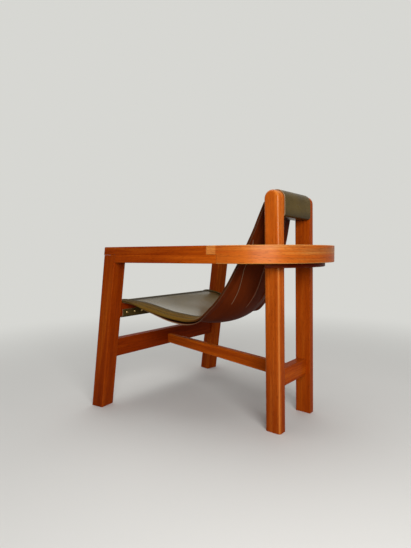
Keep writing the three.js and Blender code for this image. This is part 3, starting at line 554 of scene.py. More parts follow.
def shade_solid(solid, group, material):
    modify(solid, "rounded_shading", "NODES", node_group=group)
    modify(solid, "flat_faces", "WEIGHTED_NORMAL", keep_sharp=True)
    for slot in solid.material_slots:
        slot.link = "OBJECT"
        slot.material = material


class CHAIR_OT_frame_timber(bpy.types.Operator):
    """Give each wooden piece oiled hardwood with the grain along it"""

    bl_idname = "chair.frame_timber"
    bl_label = "Frame Timber"

    def execute(self, context):
        group = rounded_shading()
        for seed, (node, (along, *look)) in enumerate(boards().items()):
            oiled = timber(f"timber_{node}", along, seed, *look)
            shade_solid(frame["nodes"][node], group, oiled)
        return {"FINISHED"}


# Sling


def quarter_turn(centre_y, centre_z, radius, start, steps):
    """Points clockwise along a quarter of a circle, from the given number of quarter turns."""
    angles = [math.pi / 2 * (start - step / steps) for step in range(steps + 1)]
    return [Vector((centre_y + radius * math.cos(a), centre_z + radius * math.sin(a))) for a in angles]


def joined(runs, spacing):
    """Runs of points joined by straight stretches, divided about evenly."""
    line = list(runs[0])
    for run in runs[1:]:
        start, end = line[-1], run[0]
        steps = max(1, round((end - start).length / spacing))
        line += [start.lerp(end, step / steps) for step in range(1, steps)]
        line += run
    return line


class Skin:
    """The middle surface of the face leather: rows along the sling, each with its hem line and its middle"""

    SEAT_STEPS = 60
    BACK_STEPS = 96
    ROLL_STEPS = 14
    ARCH_STEPS = 14
    CORNER_STEPS = 6
    SPACING = 0.006
    # Rear of the bow for which the curves below were drawn
    BOW_REAR = 0.398
    EDGE_LOW_Y = 0.003
    CENTRE_LOW_Y = -0.03
    LIP_FADE = 0.12
    FOLD_FADE = 0.07
    FOLD_SCALE = (7, 15)
    FOLD_SEED = 0.3
    HUNG_FADE = 0.01
    DART_FADE = 0.06
    DART_EDGE = (0.004, 0.02)
    DART_WIDTHS = ((0.65, 0.003), (0.35, 0.014))
    RAIL_MIDDLE = 0.009
    RAIL_REACH = 0.03
    RAIL_EDGE = 0.05
    EDGE_HANDLES = (0.152, 0.147, 0.088, Vector((0.05, 0.168)))
    CENTRE_HANDLES = (0.06, 0.12, 0.172, Vector((0.018, 0.19)))
    HEAD_BULGE = Vector((0.014, 0.006))
    HEAD_ROLL = 0.024

    def __init__(self, cut):
        self.cut = cut
        self.wrap = cut.rail_gap + cut.face_thick / 2
        self.shift = BOW_HIGH.y - self.BOW_REAR
        self.head_half = POST_LOW.x - cut.post_play
        self.front_half = FACE_HIGH.x
        front = self.front_wrap()
        head = self.head_wrap()
        edge = self.hung_line(cut.hem_sag, self.EDGE_LOW_Y, *self.EDGE_HANDLES)
        centre = self.hung_line(cut.centre_sag, self.CENTRE_LOW_Y, *self.CENTRE_HANDLES)
        self.first = len(front)
        self.rail_front = int(np.argmin([point.x for point in front]))
        self.belly = self.first + self.SEAT_STEPS - 1
        self.head = self.belly + self.BACK_STEPS
        self.edge = np.array([*front, *edge, *head])
        self.centre = np.array([*front, *centre, *head])
        steps = np.linalg.norm(np.diff(self.edge, axis=0), axis=1)
        self.travel = np.concatenate([[0], np.cumsum(steps)])
        behind = self.travel - self.travel[self.first - 1]
        self.half = np.interp(behind / behind[self.head], [0, 1], [self.front_half, self.head_half])

    def leaned(self, point):
        return Vector((point.x - POST_LEAN_SLOPE * point.y, point.y))

    def front_wrap(self):
        cut = self.cut
        reach = cut.rail_round + self.wrap
        rear, front = SEAT_RAIL_HIGH.y - cut.rail_round, SEAT_RAIL_LOW.y + cut.rail_round
        low, high = SEAT_RAIL_LOW.z + cut.rail_round, SEAT_RAIL_HIGH.z - cut.rail_round
        return joined([
            [Vector((SEAT_RAIL_HIGH.y + self.wrap, SEAT_RAIL_LOW.z + cut.front_flap))],
            quarter_turn(rear, low, reach, 0, self.CORNER_STEPS),
            quarter_turn(front, low, reach, -1, self.CORNER_STEPS),
            quarter_turn(front, high, reach, 2, self.CORNER_STEPS),
            [Vector((rear, SEAT_RAIL_HIGH.z + self.wrap))],
        ], self.SPACING)

    def head_wrap(self):
        cut = self.cut
        radius = cut.head_depth / 2
        rear = POST_HIGH.y
        front = rear - cut.head_depth
        reach = cut.rail_round + self.wrap
        low = HEAD_RAIL_LOW.z + cut.rail_round
        line = joined([
            quarter_turn(rear - radius, POST_HIGH.z - radius, radius + self.wrap, 1, self.ARCH_STEPS),
            quarter_turn(rear - cut.rail_round, low, reach, 0, self.CORNER_STEPS),
            quarter_turn(front + cut.rail_round, low, reach, -1, self.CORNER_STEPS),
            [Vector((front - self.wrap, HEAD_RAIL_LOW.z + cut.head_flap))],
        ], self.SPACING)
        return [self.leaned(point) for point in line]

    def hung_line(self, sag, low_y, seat_leave, seat_arrive, back_leave, back_arrive):
        cut = self.cut
        radius = cut.head_depth / 2
        front = POST_HIGH.y - cut.head_depth
        start = Vector((SEAT_RAIL_HIGH.y - cut.rail_round, SEAT_RAIL_HIGH.z + self.wrap))
        low = Vector((low_y + self.shift, start.y - sag))
        head = self.leaned(Vector((front, POST_HIGH.z - radius)) - self.HEAD_BULGE)
        crown = self.leaned(Vector((front + radius, POST_HIGH.z + self.wrap)))
        upright = back_arrive.normalized()
        seat = self.curve(start, Vector((start.x + seat_leave, start.y)),
                          Vector((low.x - seat_arrive, low.y)), low, self.SEAT_STEPS)
        back = self.curve(low, Vector((low.x + back_leave, low.y)), head - back_arrive, head, self.BACK_STEPS)
        over = self.curve(head, head + upright * self.HEAD_ROLL,
                          Vector((crown.x - self.HEAD_ROLL, crown.y)), crown, self.ROLL_STEPS)
        return [*seat, *back, *over[:-1]]

    def curve(self, start, leave, arrive, end, steps):
        return interpolate_bezier(start, leave, arrive, end, steps + 1)[1:]

    def rows(self, first, last):
        return slice(first, last + 1)

    def behind(self, rows):
        """How far along the leather each row lies behind the top of the seat rail."""
        return self.travel[rows, None] - self.travel[self.first]

    def from_edge(self, rows, x):
        return self.half[rows, None] - np.abs(x)

    def at(self, rows, x):
        """Points, normals and outward directions at the given X of each row."""
        inner = self.half[rows, None] - self.cut.hem_width
        share = (np.clip(np.abs(x) / inner, 0, 1) ** self.cut.bucket_power)[..., None]
        line = self.centre[rows, None] * (1 - share) + self.edge[rows, None] * share
        points = np.concatenate([x[..., None], line], axis=2)
        points = points + self.relief(rows, x)[..., None] * self.normals(points)
        return points, self.normals(points), self.across(points)

    def across(self, points):
        steps = np.gradient(points, axis=1)
        return steps / np.linalg.norm(steps, axis=2, keepdims=True)

    def normals(self, points):
        turned = np.cross(np.gradient(points, axis=1), np.gradient(points, axis=0))
        return turned / np.linalg.norm(turned, axis=2, keepdims=True)

    def hanging(self, rows, start, fade):
        """One between a row and the head, fading to nought at both."""
        below = self.travel[rows, None] - self.travel[start]
        above = self.travel[self.head] - self.travel[rows, None]
        return np.clip(below / fade, 0, 1) * np.clip(above / fade, 0, 1)

    def hung(self, rows):
        """One where the leather hangs free, and nought on the rails."""
        return self.hanging(rows, self.first, self.HUNG_FADE)

    def relief(self, rows, x):
        """Soft folds and bent hems of the seat, and the grooves that the darts pull into the back."""
        wide, long = self.FOLD_SCALE
        folds = np.array([[noise.noise((px * wide, py * long, self.FOLD_SEED)) for px in line]
                          for line, py in zip(x, self.travel[rows])])
        folds = self.cut.fold_height * folds * self.hanging(rows, self.first, self.FOLD_FADE)
        return (folds + self.rail_roll(rows, x) - self.lip(rows, x)
                - self.cut.dart_pinch * self.dart_groove(rows, x))

    def rail_roll(self, rows, x):
        """How far the leather stands off the top of the seat rail."""
        beyond = np.abs(self.behind(rows) + self.RAIL_MIDDLE)
        on_top = np.cos(np.pi / 2 * np.clip(beyond / self.RAIL_REACH, 0, 1)) ** 2
        return self.cut.rail_fullness * on_top * eased(self.from_edge(rows, x) / self.RAIL_EDGE)

    def lip(self, rows, x):
        """How far the hems bend down beside the seat."""
        behind = self.behind(rows)
        end = self.travel[self.belly + self.BACK_STEPS // 4] - self.travel[self.first]
        fade = eased(behind / self.LIP_FADE) * eased((end - behind) / self.LIP_FADE)
        outer = np.clip(1 - self.from_edge(rows, x) / self.cut.hem_width, 0, 1)
        return self.cut.lip_drop * outer ** 2 * fade

    def dart_groove(self, rows, x):
        """One along the darts, fading to nought beside them and at their ends."""
        cut = self.cut
        room, fade = self.DART_EDGE
        inside = np.clip((self.from_edge(rows, x) - room) / fade, 0, 1)
        nearest = np.abs((x / cut.dart_spacing) % 1 - 0.5) * cut.dart_spacing
        among = np.abs(x) < cut.dart_spacing * cut.dart_count / 2
        groove = sum(share * np.exp(-(nearest / width) ** 2) for share, width in self.DART_WIDTHS)
        return groove * self.hanging(rows, self.dart_start(), self.DART_FADE) * inside * among

    def dart_start(self):
        return self.belly + self.BACK_STEPS // 3


def eased(value):
    part = np.clip(value, 0, 1)
    return part * part * (3 - 2 * part)


def placed(name, data):
    """A new object in the scene."""
    made = bpy.data.objects.new(name, data)
    bpy.context.scene.collection.objects.link(made)
    return made


def add_piece(name, points, faces, materials, values=None):
    """A smooth piece of the chair, with named values at its points for its materials."""
    mesh = bpy.data.meshes.new(name)
    mesh.from_pydata(points, [], faces)
    for key, stated in (values or {}).items():
        mesh.attributes.new(key, "FLOAT", "POINT").data.foreach_set("value", stated)
    mesh.shade_smooth()
    for material in materials:
        mesh.materials.append(material)
    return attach(placed(name, mesh), "root")


def grid_piece(name, points, values, materials):
    """A sheet of quads over rows and columns of points."""
    size = points.shape[:2]
    index = np.arange(size[0] * size[1]).reshape(size)
    quads = np.stack([index[:-1, :-1], index[:-1, 1:], index[1:, 1:], index[1:, :-1]], axis=-1)
    stated = {key: np.broadcast_to(value, size).astype(np.float32).ravel() for key, value in values.items()}
    return add_piece(name, points.reshape(-1, 3).tolist(), quads.reshape(-1, 4).tolist(), materials, stated)


CUT_ROUNDING = 0.22
CUT_ANGLE = math.radians(55)


def thicken(piece, thick, cut_edge):
    """Thickness on both sides of a sheet, with raw cut edges that are a little rounded."""
    modify(piece, "thickness", "SOLIDIFY", thickness=thick, offset=0, use_even_offset=True,
           material_offset_rim=int(cut_edge))
    modify(piece, "rounded_edges", "BEVEL", width=thick * CUT_ROUNDING, segments=2, limit_method="ANGLE",
           angle_limit=CUT_ANGLE)


def leather(name):
    """Marks a function that works out a finish. It then gives the material, made when first asked for."""
    def named(dress):
        def material():
            known = bpy.data.materials.get(name)
            return known or dress(bpy.context.scene.chair_leather, Finish(name))
        return material
    return named


def hide_coordinates(finish):
    """Flat coordinates of the hide: across, along, from the side edge, and the first two as a vector."""
    across, along, from_edge = (finish.attribute(name) for name in ("across", "along", "from_edge"))
    return across, along, from_edge, finish.vector(across, along, 0.0)


def pebbles(finish, hide):
    """The raised pebbles of the leather's grain."""
    scale = 1 / bpy.context.scene.chair_leather.pebble
    cells = finish.node("ShaderNodeTexVoronoi", {"feature": "DISTANCE_TO_EDGE"},
                        {"Vector": hide, "Scale": scale, "Randomness": 0.9}, "Distance")
    return finish.smooth_step(cells, 0.0, 0.32)


def up_the_back(finish):
    """Where the leather hangs up the back."""
    return finish.smooth_step(finish.attribute("behind_rail"), 0.22, 0.34) * finish.attribute("hung")


@leather("olive_face_leather")
def face_leather(look, finish):
    hem = bpy.context.scene.chair_sling.hem_width
    across, along, from_edge, hide = hide_coordinates(finish)
    behind_rail, hung = finish.attribute("behind_rail"), finish.attribute("hung")
    pebble = pebbles(finish, hide)
    patches = finish.cloud(hide, 9, 4)
    creases = finish.cloud(finish.vector(across * 24, along * 70, 0.7), 1, 3, 0.6)
    creases = finish.fall(abs(creases - 0.5), 0.0, 0.045)
    rubbed = finish.cloud(finish.vector(across * 5, along * 9, 2.1), 1, 4, 0.6)
    rubbed = finish.smooth_step(rubbed, 0.48, 0.75)
    # Painted shade: the leather over the seat rail is darkened, standing in for the darker reflection there;
    # it is also rougher.
    on_rail = finish.fall(behind_rail, 0.002, 0.018)
    # Painted shade in the fold just behind the seat rail.
    rail_fold_shade = finish.fall(abs(behind_rail - 0.009), 0.004, 0.013)
    # Painted shade along the seat beside the inner edge of the hem.
    shade_beside_hem = finish.fall(from_edge, hem, hem + 0.028)
    # Where one sits the leather turns towards the worn colour: partly real wear and partly a painted sheen of
    # reflected light.
    worn_and_sheen = finish.smooth_step(behind_rail, -0.02, 0.24) * finish.fall(behind_rail, 0.3, 0.46)
    worn_and_sheen = worn_and_sheen * (1 - shade_beside_hem * 0.7)
    # Painted shade on the lower part of the head roll.
    rise = finish.dot(finish.place(), UP) - HEAD_RAIL_LOW.z
    shade_under_roll = finish.smooth_step(rise, -0.03, -0.01) * finish.fall(rise, -0.004, 0.03)
    body = finish.layers(
        finish.ramp(patches, [(0.25, look.olive_dark), (0.5, look.olive), (0.8, look.olive_light)]),
        (rubbed * 0.4, look.olive_light),
        (creases * 0.3, look.olive_dark),
        ((1 - pebble) * 0.35, look.olive_dark),
        (worn_and_sheen * (patches * 0.5 + 0.5), look.worn),
        (on_rail * 0.75, look.olive_dark),
        (rail_fold_shade * 0.9, shaded(look.olive_dark, 0.35)),
        (shade_beside_hem * hung * 0.8, shaded(look.olive_dark, 0.5)),
        ((1 - hung) * shade_under_roll * 0.75, look.olive_dark),
    )
    height = (pebble * 0.35 - creases * 0.5) * (1 - worn_and_sheen * 0.85)
    rough = look.gloss + patches * 0.12 - rubbed * 0.07 + on_rail * 0.3 - worn_and_sheen * 0.12
    return finish.surface(body, rough, (height, 0.00035, 0.6), Specular_IOR_Level=0.06,
                          Coat_Weight=worn_and_sheen * 0.9, Coat_Roughness=0.24)


@leather("olive_hem_leather")
def hem_leather(look, finish):
    width = bpy.context.scene.chair_sling.hem_width
    _, along, from_edge, hide = hide_coordinates(finish)
    pebble = pebbles(finish, hide)
    pull = finish.cloud(finish.vector(from_edge * 260, along * 7, 0.2), 1, 3)
    patches = finish.cloud(hide, 14, 3)
    body = finish.ramp(pull * 0.6 + patches * 0.4,
                       [(0.24, look.olive_dark), (0.42, look.hem), (0.75, look.olive_light)])
    body = finish.mix((1 - pebble) * 0.3, body, look.olive_dark)
    # Darker along the pressed stitch rows, and painted shade at the inner edge of the hem.
    pressed_and_shade = shaded(look.olive_dark, 0.5)
    for row in CHAIR_OT_sling_hems.STITCH_ROWS:
        pressed = finish.fall(abs(from_edge - row), 0.8 * MM, 2.6 * MM)
        body = finish.mix(pressed * 0.75, body, pressed_and_shade)
    greener = finish.smooth_step(from_edge, width * 0.5, width * 0.8)
    # Painted shade along the inner edge of the hem.
    inner = finish.smooth_step(from_edge, width - 6 * MM, width - 2 * MM)
    near_rail = finish.fall(finish.attribute("behind_rail"), 0.01, 0.09)
    rim = finish.fall(from_edge, 0.0, 2.5 * MM) * up_the_back(finish)
    body = finish.layers(body, (greener * 0.65, look.olive_dark), (inner * 0.9, pressed_and_shade),
                         (near_rail * 0.75, look.olive_dark), (rim * 0.9, look.lining_dark))
    height = pebble * 0.3 + pull * 0.7
    rough = look.gloss + 0.26 + patches * 0.12
    return finish.surface(body, rough, (height, 0.0005, 0.6), Specular_IOR_Level=0.04)


@leather("brown_lining_leather")
def lining_leather(look, finish):
    across, along, from_edge, hide = hide_coordinates(finish)
    nap = finish.cloud(hide, 900, 3, 0.7)
    patches = finish.cloud(hide, 7, 4)
    strokes = finish.cloud(finish.vector(across * 30, along * 6, 1.4), 1, 3)
    body = finish.ramp(patches * 0.6 + strokes * 0.4, [(0.3, look.lining_dark), (0.62, look.lining)])
    rubbed = finish.fall(from_edge + nap * 0.002, 2 * MM, 4.5 * MM) * (1 - up_the_back(finish))
    # Painted shade in the gap on the lining's upper side near its edge.
    inside = finish.smooth_step(finish.dot(finish.normal(), UP), -0.1, 0.1)
    inside = inside * finish.smooth_step(from_edge, 2.5 * MM, 4.5 * MM)
    body = finish.layers(body, (nap * 0.3, look.lining_dark), (rubbed * 0.75, look.cut),
                         (inside * 0.95, shaded(look.lining_dark, 0.1)))
    return finish.surface(body, 0.55 + nap * 0.2, (nap, 0.0002, 0.5), Specular_IOR_Level=0.05)


@leather("raw_cut_leather")
def cut_leather(look, finish):
    fibres = finish.cloud(finish.place(), 1400, 3, 0.7)
    body = finish.two_tone(fibres, shaded(look.cut, 0.55), look.cut)
    body = finish.mix(up_the_back(finish) * 0.85, body, look.lining_dark)
    return finish.surface(body, 0.7 + fibres * 0.15, (fibres, 0.0002, 0.6), Specular_IOR_Level=0.25)


@leather("dart_ply")
def dart_leather(look, finish):
    """Red-brown flanks with the raw edges of two plies along the crest."""
    fibres = finish.cloud(finish.place(), 900, 3, 0.7)
    raw = finish.two_tone(fibres, shaded(look.cut, 0.35), shaded(look.cut, 0.65))
    body = finish.mix(finish.smooth_step(finish.attribute("crest"), 0.8, 1.0), look.lining, raw)
    return finish.surface(body, 0.6 + fibres * 0.2, (fibres, 0.0002, 0.5), Specular_IOR_Level=0.3)


@leather("sewing_thread")
def waxed_thread(look, finish):
    twist = finish.cloud(finish.place(), 2600, 1)
    body = finish.two_tone(twist, shaded(look.thread, 0.5), look.thread)
    return finish.surface(body, 0.5 + twist * 0.15, (twist, 0.0001, 0.5))


def evenly(skin, rows, columns):
    """The X of evenly spaced columns in each row."""
    return skin.half[rows, None] * np.linspace(-1, 1, columns)[None]


def hide_values(skin, rows, x):
    return {
        "across": x,
        "along": skin.travel[rows, None],
        "from_edge": skin.from_edge(rows, x),
        "behind_rail": skin.behind(rows),
        "hung": skin.hung(rows),
    }


class CHAIR_OT_sling_face(bpy.types.Operator):
    """Hang the olive face leather from the seat rail to the head rail"""

    bl_idname = "chair.sling_face"
    bl_label = "Sling Face"
    COLUMNS = 161

    def execute(self, context):
        cut = context.scene.chair_sling
        skin = Skin(cut)
        last = len(skin.travel) - 1
        rows = skin.rows(0, last)
        x = evenly(skin, rows, self.COLUMNS)
        points = skin.at(rows, x)[0]
        materials = [face_leather(), cut_leather()]
        face = grid_piece("sling_leather_face", points, hide_values(skin, rows, x), materials)
        thicken(face, cut.face_thick, True)
        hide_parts("sling_face")
        return {"FINISHED"}


class CHAIR_OT_sling_lining(bpy.types.Operator):
    """Line the sling with red-brown leather whose side edges hang a little free"""

    bl_idname = "chair.sling_lining"
    bl_label = "Sling Lining"
    COLUMNS = 121
    EDGE_TRIM = 0.001
    DROOP_FROM = 0.04
    DROOP_LENGTH = 0.3
    DROOP_REARWARD = 1.6
    DROOP_WIDTH = 0.045

    def execute(self, context):
        cut = context.scene.chair_sling
        skin = Skin(cut)
        rows = skin.rows(skin.first, skin.head)
        x = evenly(skin, rows, self.COLUMNS) * (1 - self.EDGE_TRIM / skin.half[rows, None])
        points, normals, _ = skin.at(rows, x)
        below = cut.face_thick / 2 + cut.layer_gap + cut.lining_thick / 2
        along = np.clip((skin.behind(rows) - self.DROOP_FROM) / self.DROOP_LENGTH, 0, 1)
        along = np.sin(np.pi * along ** self.DROOP_REARWARD)
        beside = np.clip(1 - skin.from_edge(rows, x) / self.DROOP_WIDTH, 0, 1) ** 2
        points = points - normals * below
        points[..., 2] -= cut.lining_droop * along * beside
        materials = [lining_leather(), cut_leather()]
        lining = grid_piece("sling_leather_lining", points, hide_values(skin, rows, x), materials)
        thicken(lining, cut.lining_thick, True)
        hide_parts("sling_lining")
        return {"FINISHED"}


class CHAIR_OT_sling_hems(bpy.types.Operator):
    """Turn and sew a hem along each side of the sling"""

    bl_idname = "chair.sling_hems"
    bl_label = "Sling Hems"
    COLUMNS = 29
    ROLL_STEPS = 8
    STITCH_ROWS = (0.0285, 0.019, 0.0095)
    CHANNEL_DEPTH = 0.0007
    CHANNEL_WIDTH = 0.002
    RAIL_FADE = 0.06
    RAIL_FULLNESS = 0.003
    ROLL_CLEAR = 0.0006

    def execute(self, context):
        cut = context.scene.chair_sling
        skin = Skin(cut)
        for side, name in ((1, "left"), (-1, "right")):
            self.make_hem(cut, skin, side, name)
        return {"FINISHED"}

    def make_hem(self, cut, skin, side, name):
        """A hem that lies on the face, turns over its edge, and is sewn down in rows."""
        rows = skin.rows(skin.rail_front, skin.head)
        inset = np.linspace(cut.hem_width, 0, self.COLUMNS)
        x = side * (skin.half[rows, None] - inset[None])
        points, normals, across = (part[:, ::side] for part in skin.at(rows, x[:, ::side]))
        radius, middle = cut.face_thick / 2 + cut.layer_gap, cut.hem_thick / 2
        level = radius + middle
        channels = sum(np.exp(-((inset - row) / self.CHANNEL_WIDTH) ** 2) for row in self.STITCH_ROWS)
        on_rail = 1 - eased(skin.behind(rows) / self.RAIL_FADE)
        fullness = self.RAIL_FULLNESS * on_rail * np.sin(np.pi * inset / cut.hem_width)[None]
        top = points + normals * (level + fullness - self.CHANNEL_DEPTH * channels[None])[..., None]
        turns = np.linspace(np.pi / 2, -np.pi / 2, self.ROLL_STEPS + 1)[None, 1:, None]
        rise, reach = middle + radius * np.sin(turns), self.ROLL_CLEAR + radius * np.cos(turns)
        roll = points[:, -1:] + normals[:, -1:] * rise + side * across[:, -1:] * reach
        sheet = np.concatenate([top, roll], axis=1)
        depth = np.concatenate([inset, np.zeros(self.ROLL_STEPS)])[None]
        values = hide_values(skin, rows, x)
        values.update({"across": side * (skin.half[rows, None] + depth), "from_edge": depth})
        values = {key: np.broadcast_to(value, sheet.shape[:2])[:, ::side] for key, value in values.items()}
        materials = [hem_leather()]
        hem = grid_piece(f"sling_turned_hem_{name}", sheet[:, ::side], values, materials)
        thicken(hem, cut.hem_thick, False)
        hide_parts(f"sling_hem_{name}")
        surface = level + cut.hem_thick / 2 - self.CHANNEL_DEPTH
        seams = [seam_line(skin, rows, side * (skin.half[rows] - row), surface) for row in self.STITCH_ROWS]
        stitches = sew(f"sling_hem_stitches_{name}", seams, cut)


def skin_line(skin, rows, x):
    """Points, normals and ways across of a line that follows the given X of each row."""
    neighbours = np.array([-2, 0, 2]) * MM
    return (part[:, 1] for part in skin.at(rows, x[:, None] + neighbours))


def seam_line(skin, rows, x, level):
    """Points and normals of a seam at a level above the skin."""
    points, normals, _ = skin_line(skin, rows, x)
    return points + normals * level, normals


def stitch_shape(cut):
    """Points and faces of a short thread that dips in at both ends."""
    rings, sides = 7, 6
    tip, fullness, dip = 0.02, 0.7, 0.45
    reach = np.linspace(-1, 1, rings)[:, None]
    radius = np.sqrt(np.clip(1 + tip - reach ** 2, tip, 1)) ** fullness * cut.thread / 2
    angle = np.linspace(0, 2 * np.pi, sides, endpoint=False)
    points = np.zeros((rings, sides, 3))
    points[..., 0] = reach * cut.stitch_long / 2
    points[..., 1] = radius * np.cos(angle)
    points[..., 2] = radius * np.sin(angle) - reach ** 2 * cut.thread * dip
    ring = np.arange(rings * sides).reshape(rings, sides)
    around = np.roll(ring, -1, axis=1)
    quads = np.stack([ring[:-1], around[:-1], around[1:], ring[1:]], axis=-1).reshape(-1, 4)
    return points.reshape(-1, 3), [*quads, ring[0, ::-1], ring[-1]]


def sampled(values, travel, place):
    """The values of a line at a place along it."""
    return np.array([np.interp(place, travel, column) for column in values.T])


def sew(name, seams, cut):
    """One mesh of stitches along the seams."""
    local, shape = stitch_shape(cut)
    vertices, faces = [], []
    for points, normals in seams:
        steps = np.linalg.norm(np.diff(points, axis=0), axis=1)
        travel = np.concatenate([[0], np.cumsum(steps)])
        for place in np.arange(cut.stitch_pitch, travel[-1] - cut.stitch_pitch, cut.stitch_pitch):
            middle = sampled(points, travel, place)
            ahead = sampled(points, travel, place + MM) - middle
            ahead /= np.linalg.norm(ahead)
            beside = np.cross(sampled(normals, travel, place), ahead)
            beside /= np.linalg.norm(beside)
            turned = local @ np.stack([ahead, beside, np.cross(ahead, beside)])
            faces.extend((face + len(vertices)).tolist() for face in shape)
            vertices.extend((turned + middle).tolist())
    return add_piece(name, vertices, faces, [waxed_thread()])


class CHAIR_OT_sling_darts(bpy.types.Operator):
    """Sew the darts that shape the back: a raised two-ply rib behind and stitches in front"""

    bl_idname = "chair.sling_darts"
    bl_label = "Sling Darts"
    RIB_POINTS = 9
    RIB_FULLNESS = 0.55
    RIB_SUNK = 0.9
    EDGE_ROOM = 0.012
    HEM_ROOM = 0.004
    ROWS_BELOW_HEAD = 3
    # Length over which a rib rises from its lowest share, at its lower and its upper end
    TAPERS = ((0.05, 0.15), (0.012, 0.3))
    STITCH_ASIDE = 0.0035

    def execute(self, context):
        cut = context.scene.chair_sling
        skin = Skin(cut)
        seams = []
        for index in range(cut.dart_count):
            x = (index - (cut.dart_count - 1) / 2) * cut.dart_spacing
            wide = [row for row in range(skin.dart_start(), skin.head - self.ROWS_BELOW_HEAD)
                    if skin.half[row] > abs(x) + self.EDGE_ROOM]
            rows = skin.rows(wide[0], wide[-1])
            self.make_rib(cut, skin, rows, x, index + 1)
            clear_of_hem = skin.half[rows] - abs(x) > cut.hem_width + self.HEM_ROOM
            shown = skin.rows(wide[0], wide[0] + int(clear_of_hem.sum()) - 1)
            for aside in (-self.STITCH_ASIDE, self.STITCH_ASIDE):
                line = np.full(shown.stop - shown.start, x + aside)
                seams.append(seam_line(skin, shown, line, cut.face_thick / 2))
        sew("sling_dart_stitches", seams, cut)
        return {"FINISHED"}

    def make_rib(self, cut, skin, rows, x, number):
        point, normal, side = skin_line(skin, rows, np.full(rows.stop - rows.start, x))
        travel = skin.travel[rows]
        ends = zip((travel - travel[0], travel[-1] - travel), self.TAPERS)
        start, end = (np.clip(reach / taper, lowest, 1) for reach, (taper, lowest) in ends)
        turn = np.append(np.linspace(0, np.pi, self.RIB_POINTS), 0)
        out = np.sin(turn)[None] ** self.RIB_FULLNESS
        top = cut.face_thick / 2 + cut.layer_gap + cut.lining_thick * self.RIB_SUNK
        depth = top + cut.dart_height * (start * end)[:, None] * out
        aside = np.cos(turn)[None, :, None] * cut.dart_width / 2
        sheet = point[:, None] - normal[:, None] * depth[..., None] + side[:, None] * aside
        materials = [dart_leather()]
        rib = grid_piece(f"sling_back_dart_{number}", sheet, {"crest": out}, materials)
        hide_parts(f"sling_dart_{number}")


class CHAIR_OT_sling_sheets(bpy.types.Operator):
    """Work out the sling's skin, and state nothing more"""

    bl_idname = "chair.sling_sheets"
    bl_label = "Sling Sheets"

    def execute(self, context):
        skin = Skin(context.scene.chair_sling)
        return {"FINISHED"}

    def named(self, *starts):
        return [piece for piece in bpy.data.objects if piece.name.startswith(starts)]


# Nails, dowels and screws


def plain_metal(name, clean, tarnish, scale, roughness):
    finish = Finish(name)
    stain = finish.smooth_step(finish.cloud(finish.place(), scale, 4, 0.65), 0.42, 0.72)
    body = finish.mix(stain * 0.7, clean, shaded(clean, tarnish))
    return finish.surface(body, roughness + stain * 0.22, (stain, 0.00008, 0.4), Metallic=1.0)


def bare_wood():
    look = bpy.context.scene.chair_timber
    finish = Finish("timber_dowels")
    place = finish.place()
    x, y, z = (finish.dot(place, axis) for axis in (ACROSS, BACK, UP))
    fibre = finish.cloud(finish.vector(x * 900, y * 900, z * 40), detail=3)
    body = finish.two_tone(fibre, shaded(look.bare, 0.6), look.bare)
    return finish.surface(body, 0.6 + fibre * 0.15, (fibre, 0.0002, 0.5))


def turned_nail(look):
    """Profile of a domed nail with a thin lip, as rings of (radius, height)."""
    lip, point, taper, steps = 0.4 * MM, -14 * MM, -12 * MM, 8
    shank, radius, height = look.nail_shank, look.nail_radius, look.nail_height
    rings = [(0, point), (shank, taper), (shank, 0), (radius - lip, 0), (radius, lip * 0.6)]
    for step in range(1, steps):
        turn = step / steps * math.pi / 2
        rings.append(((radius - lip * 0.5) * math.cos(turn), lip + (height - lip) * math.sin(turn)))
    return [*rings, (0, height)]


def nodes_named(start):
    return sorted(name for name in frame["nodes"] if name.startswith(start))


class CHAIR_OT_nails(bpy.types.Operator):
    """Drive the domed brass nails through both ends of the sling"""

    bl_idname = "chair.nails"
    bl_label = "Brass Nails"
    SIDES = 20

    def execute(self, context):
        look = context.scene.chair_metal
        brass = plain_metal("polished_brass", look.brass, tarnish=0.45, scale=420, roughness=0.2)
        for row, outward in (("seat_nail", 1), ("head_nail", -1)):
            self.make_row(look, row, nodes_named(row), outward, brass)
        return {"FINISHED"}

    def make_row(self, look, row, nodes, outward, brass):
        profile = turned_nail(look)
        angles = [2 * math.pi * step / self.SIDES for step in range(self.SIDES)]
        vertices, faces = [], []
        for node in nodes:
            low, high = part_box(node)
            seat = (high.y if outward > 0 else low.y) - outward * look.nail_height
            centre = Vector(((low.x + high.x) / 2, seat, (low.z + high.z) / 2))
            rings = []
            for radius, height in profile:
                sides = angles if radius else angles[:1]
                rings.append(range(len(vertices), len(vertices) + len(sides)))
                for angle in sides:
                    out = Vector((radius * math.cos(angle), outward * height, radius * math.sin(angle)))
                    vertices.append(centre + out)
            for below, above in zip(rings, rings[1:]):
                faces.extend(ring_faces(below, above, outward < 0))
        piece = add_piece(f"{row}s_domed", vertices, faces, [brass])
        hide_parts(*nodes)


def ring_faces(below, above, turned):
    count = max(len(below), len(above))
    faces = []
    for step in range(count):
        corners = [below[step % len(below)], above[step % len(above)],
                   above[(step + 1) % len(above)], below[(step + 1) % len(below)]]
        face = list(dict.fromkeys(corners))
        faces.append(face[::-1] if turned else face)
    return faces


class CHAIR_OT_hidden_fixings(bpy.types.Operator):
    """Finish the dowels and the countersunk screws under the bow"""

    bl_idname = "chair.hidden_fixings"
    bl_label = "Dowels and Screws"

    def execute(self, context):
        group = rounded_shading()
        look = context.scene.chair_metal
        steel = plain_metal("plated_steel", look.steel, tarnish=0.6, scale=600, roughness=0.3)
        for start, material in (("plate_screw", steel), ("leg_dowel", bare_wood())):
            for name in nodes_named(start):
                shade_solid(frame["nodes"][name], group, material)
        return {"FINISHED"}


# Stage


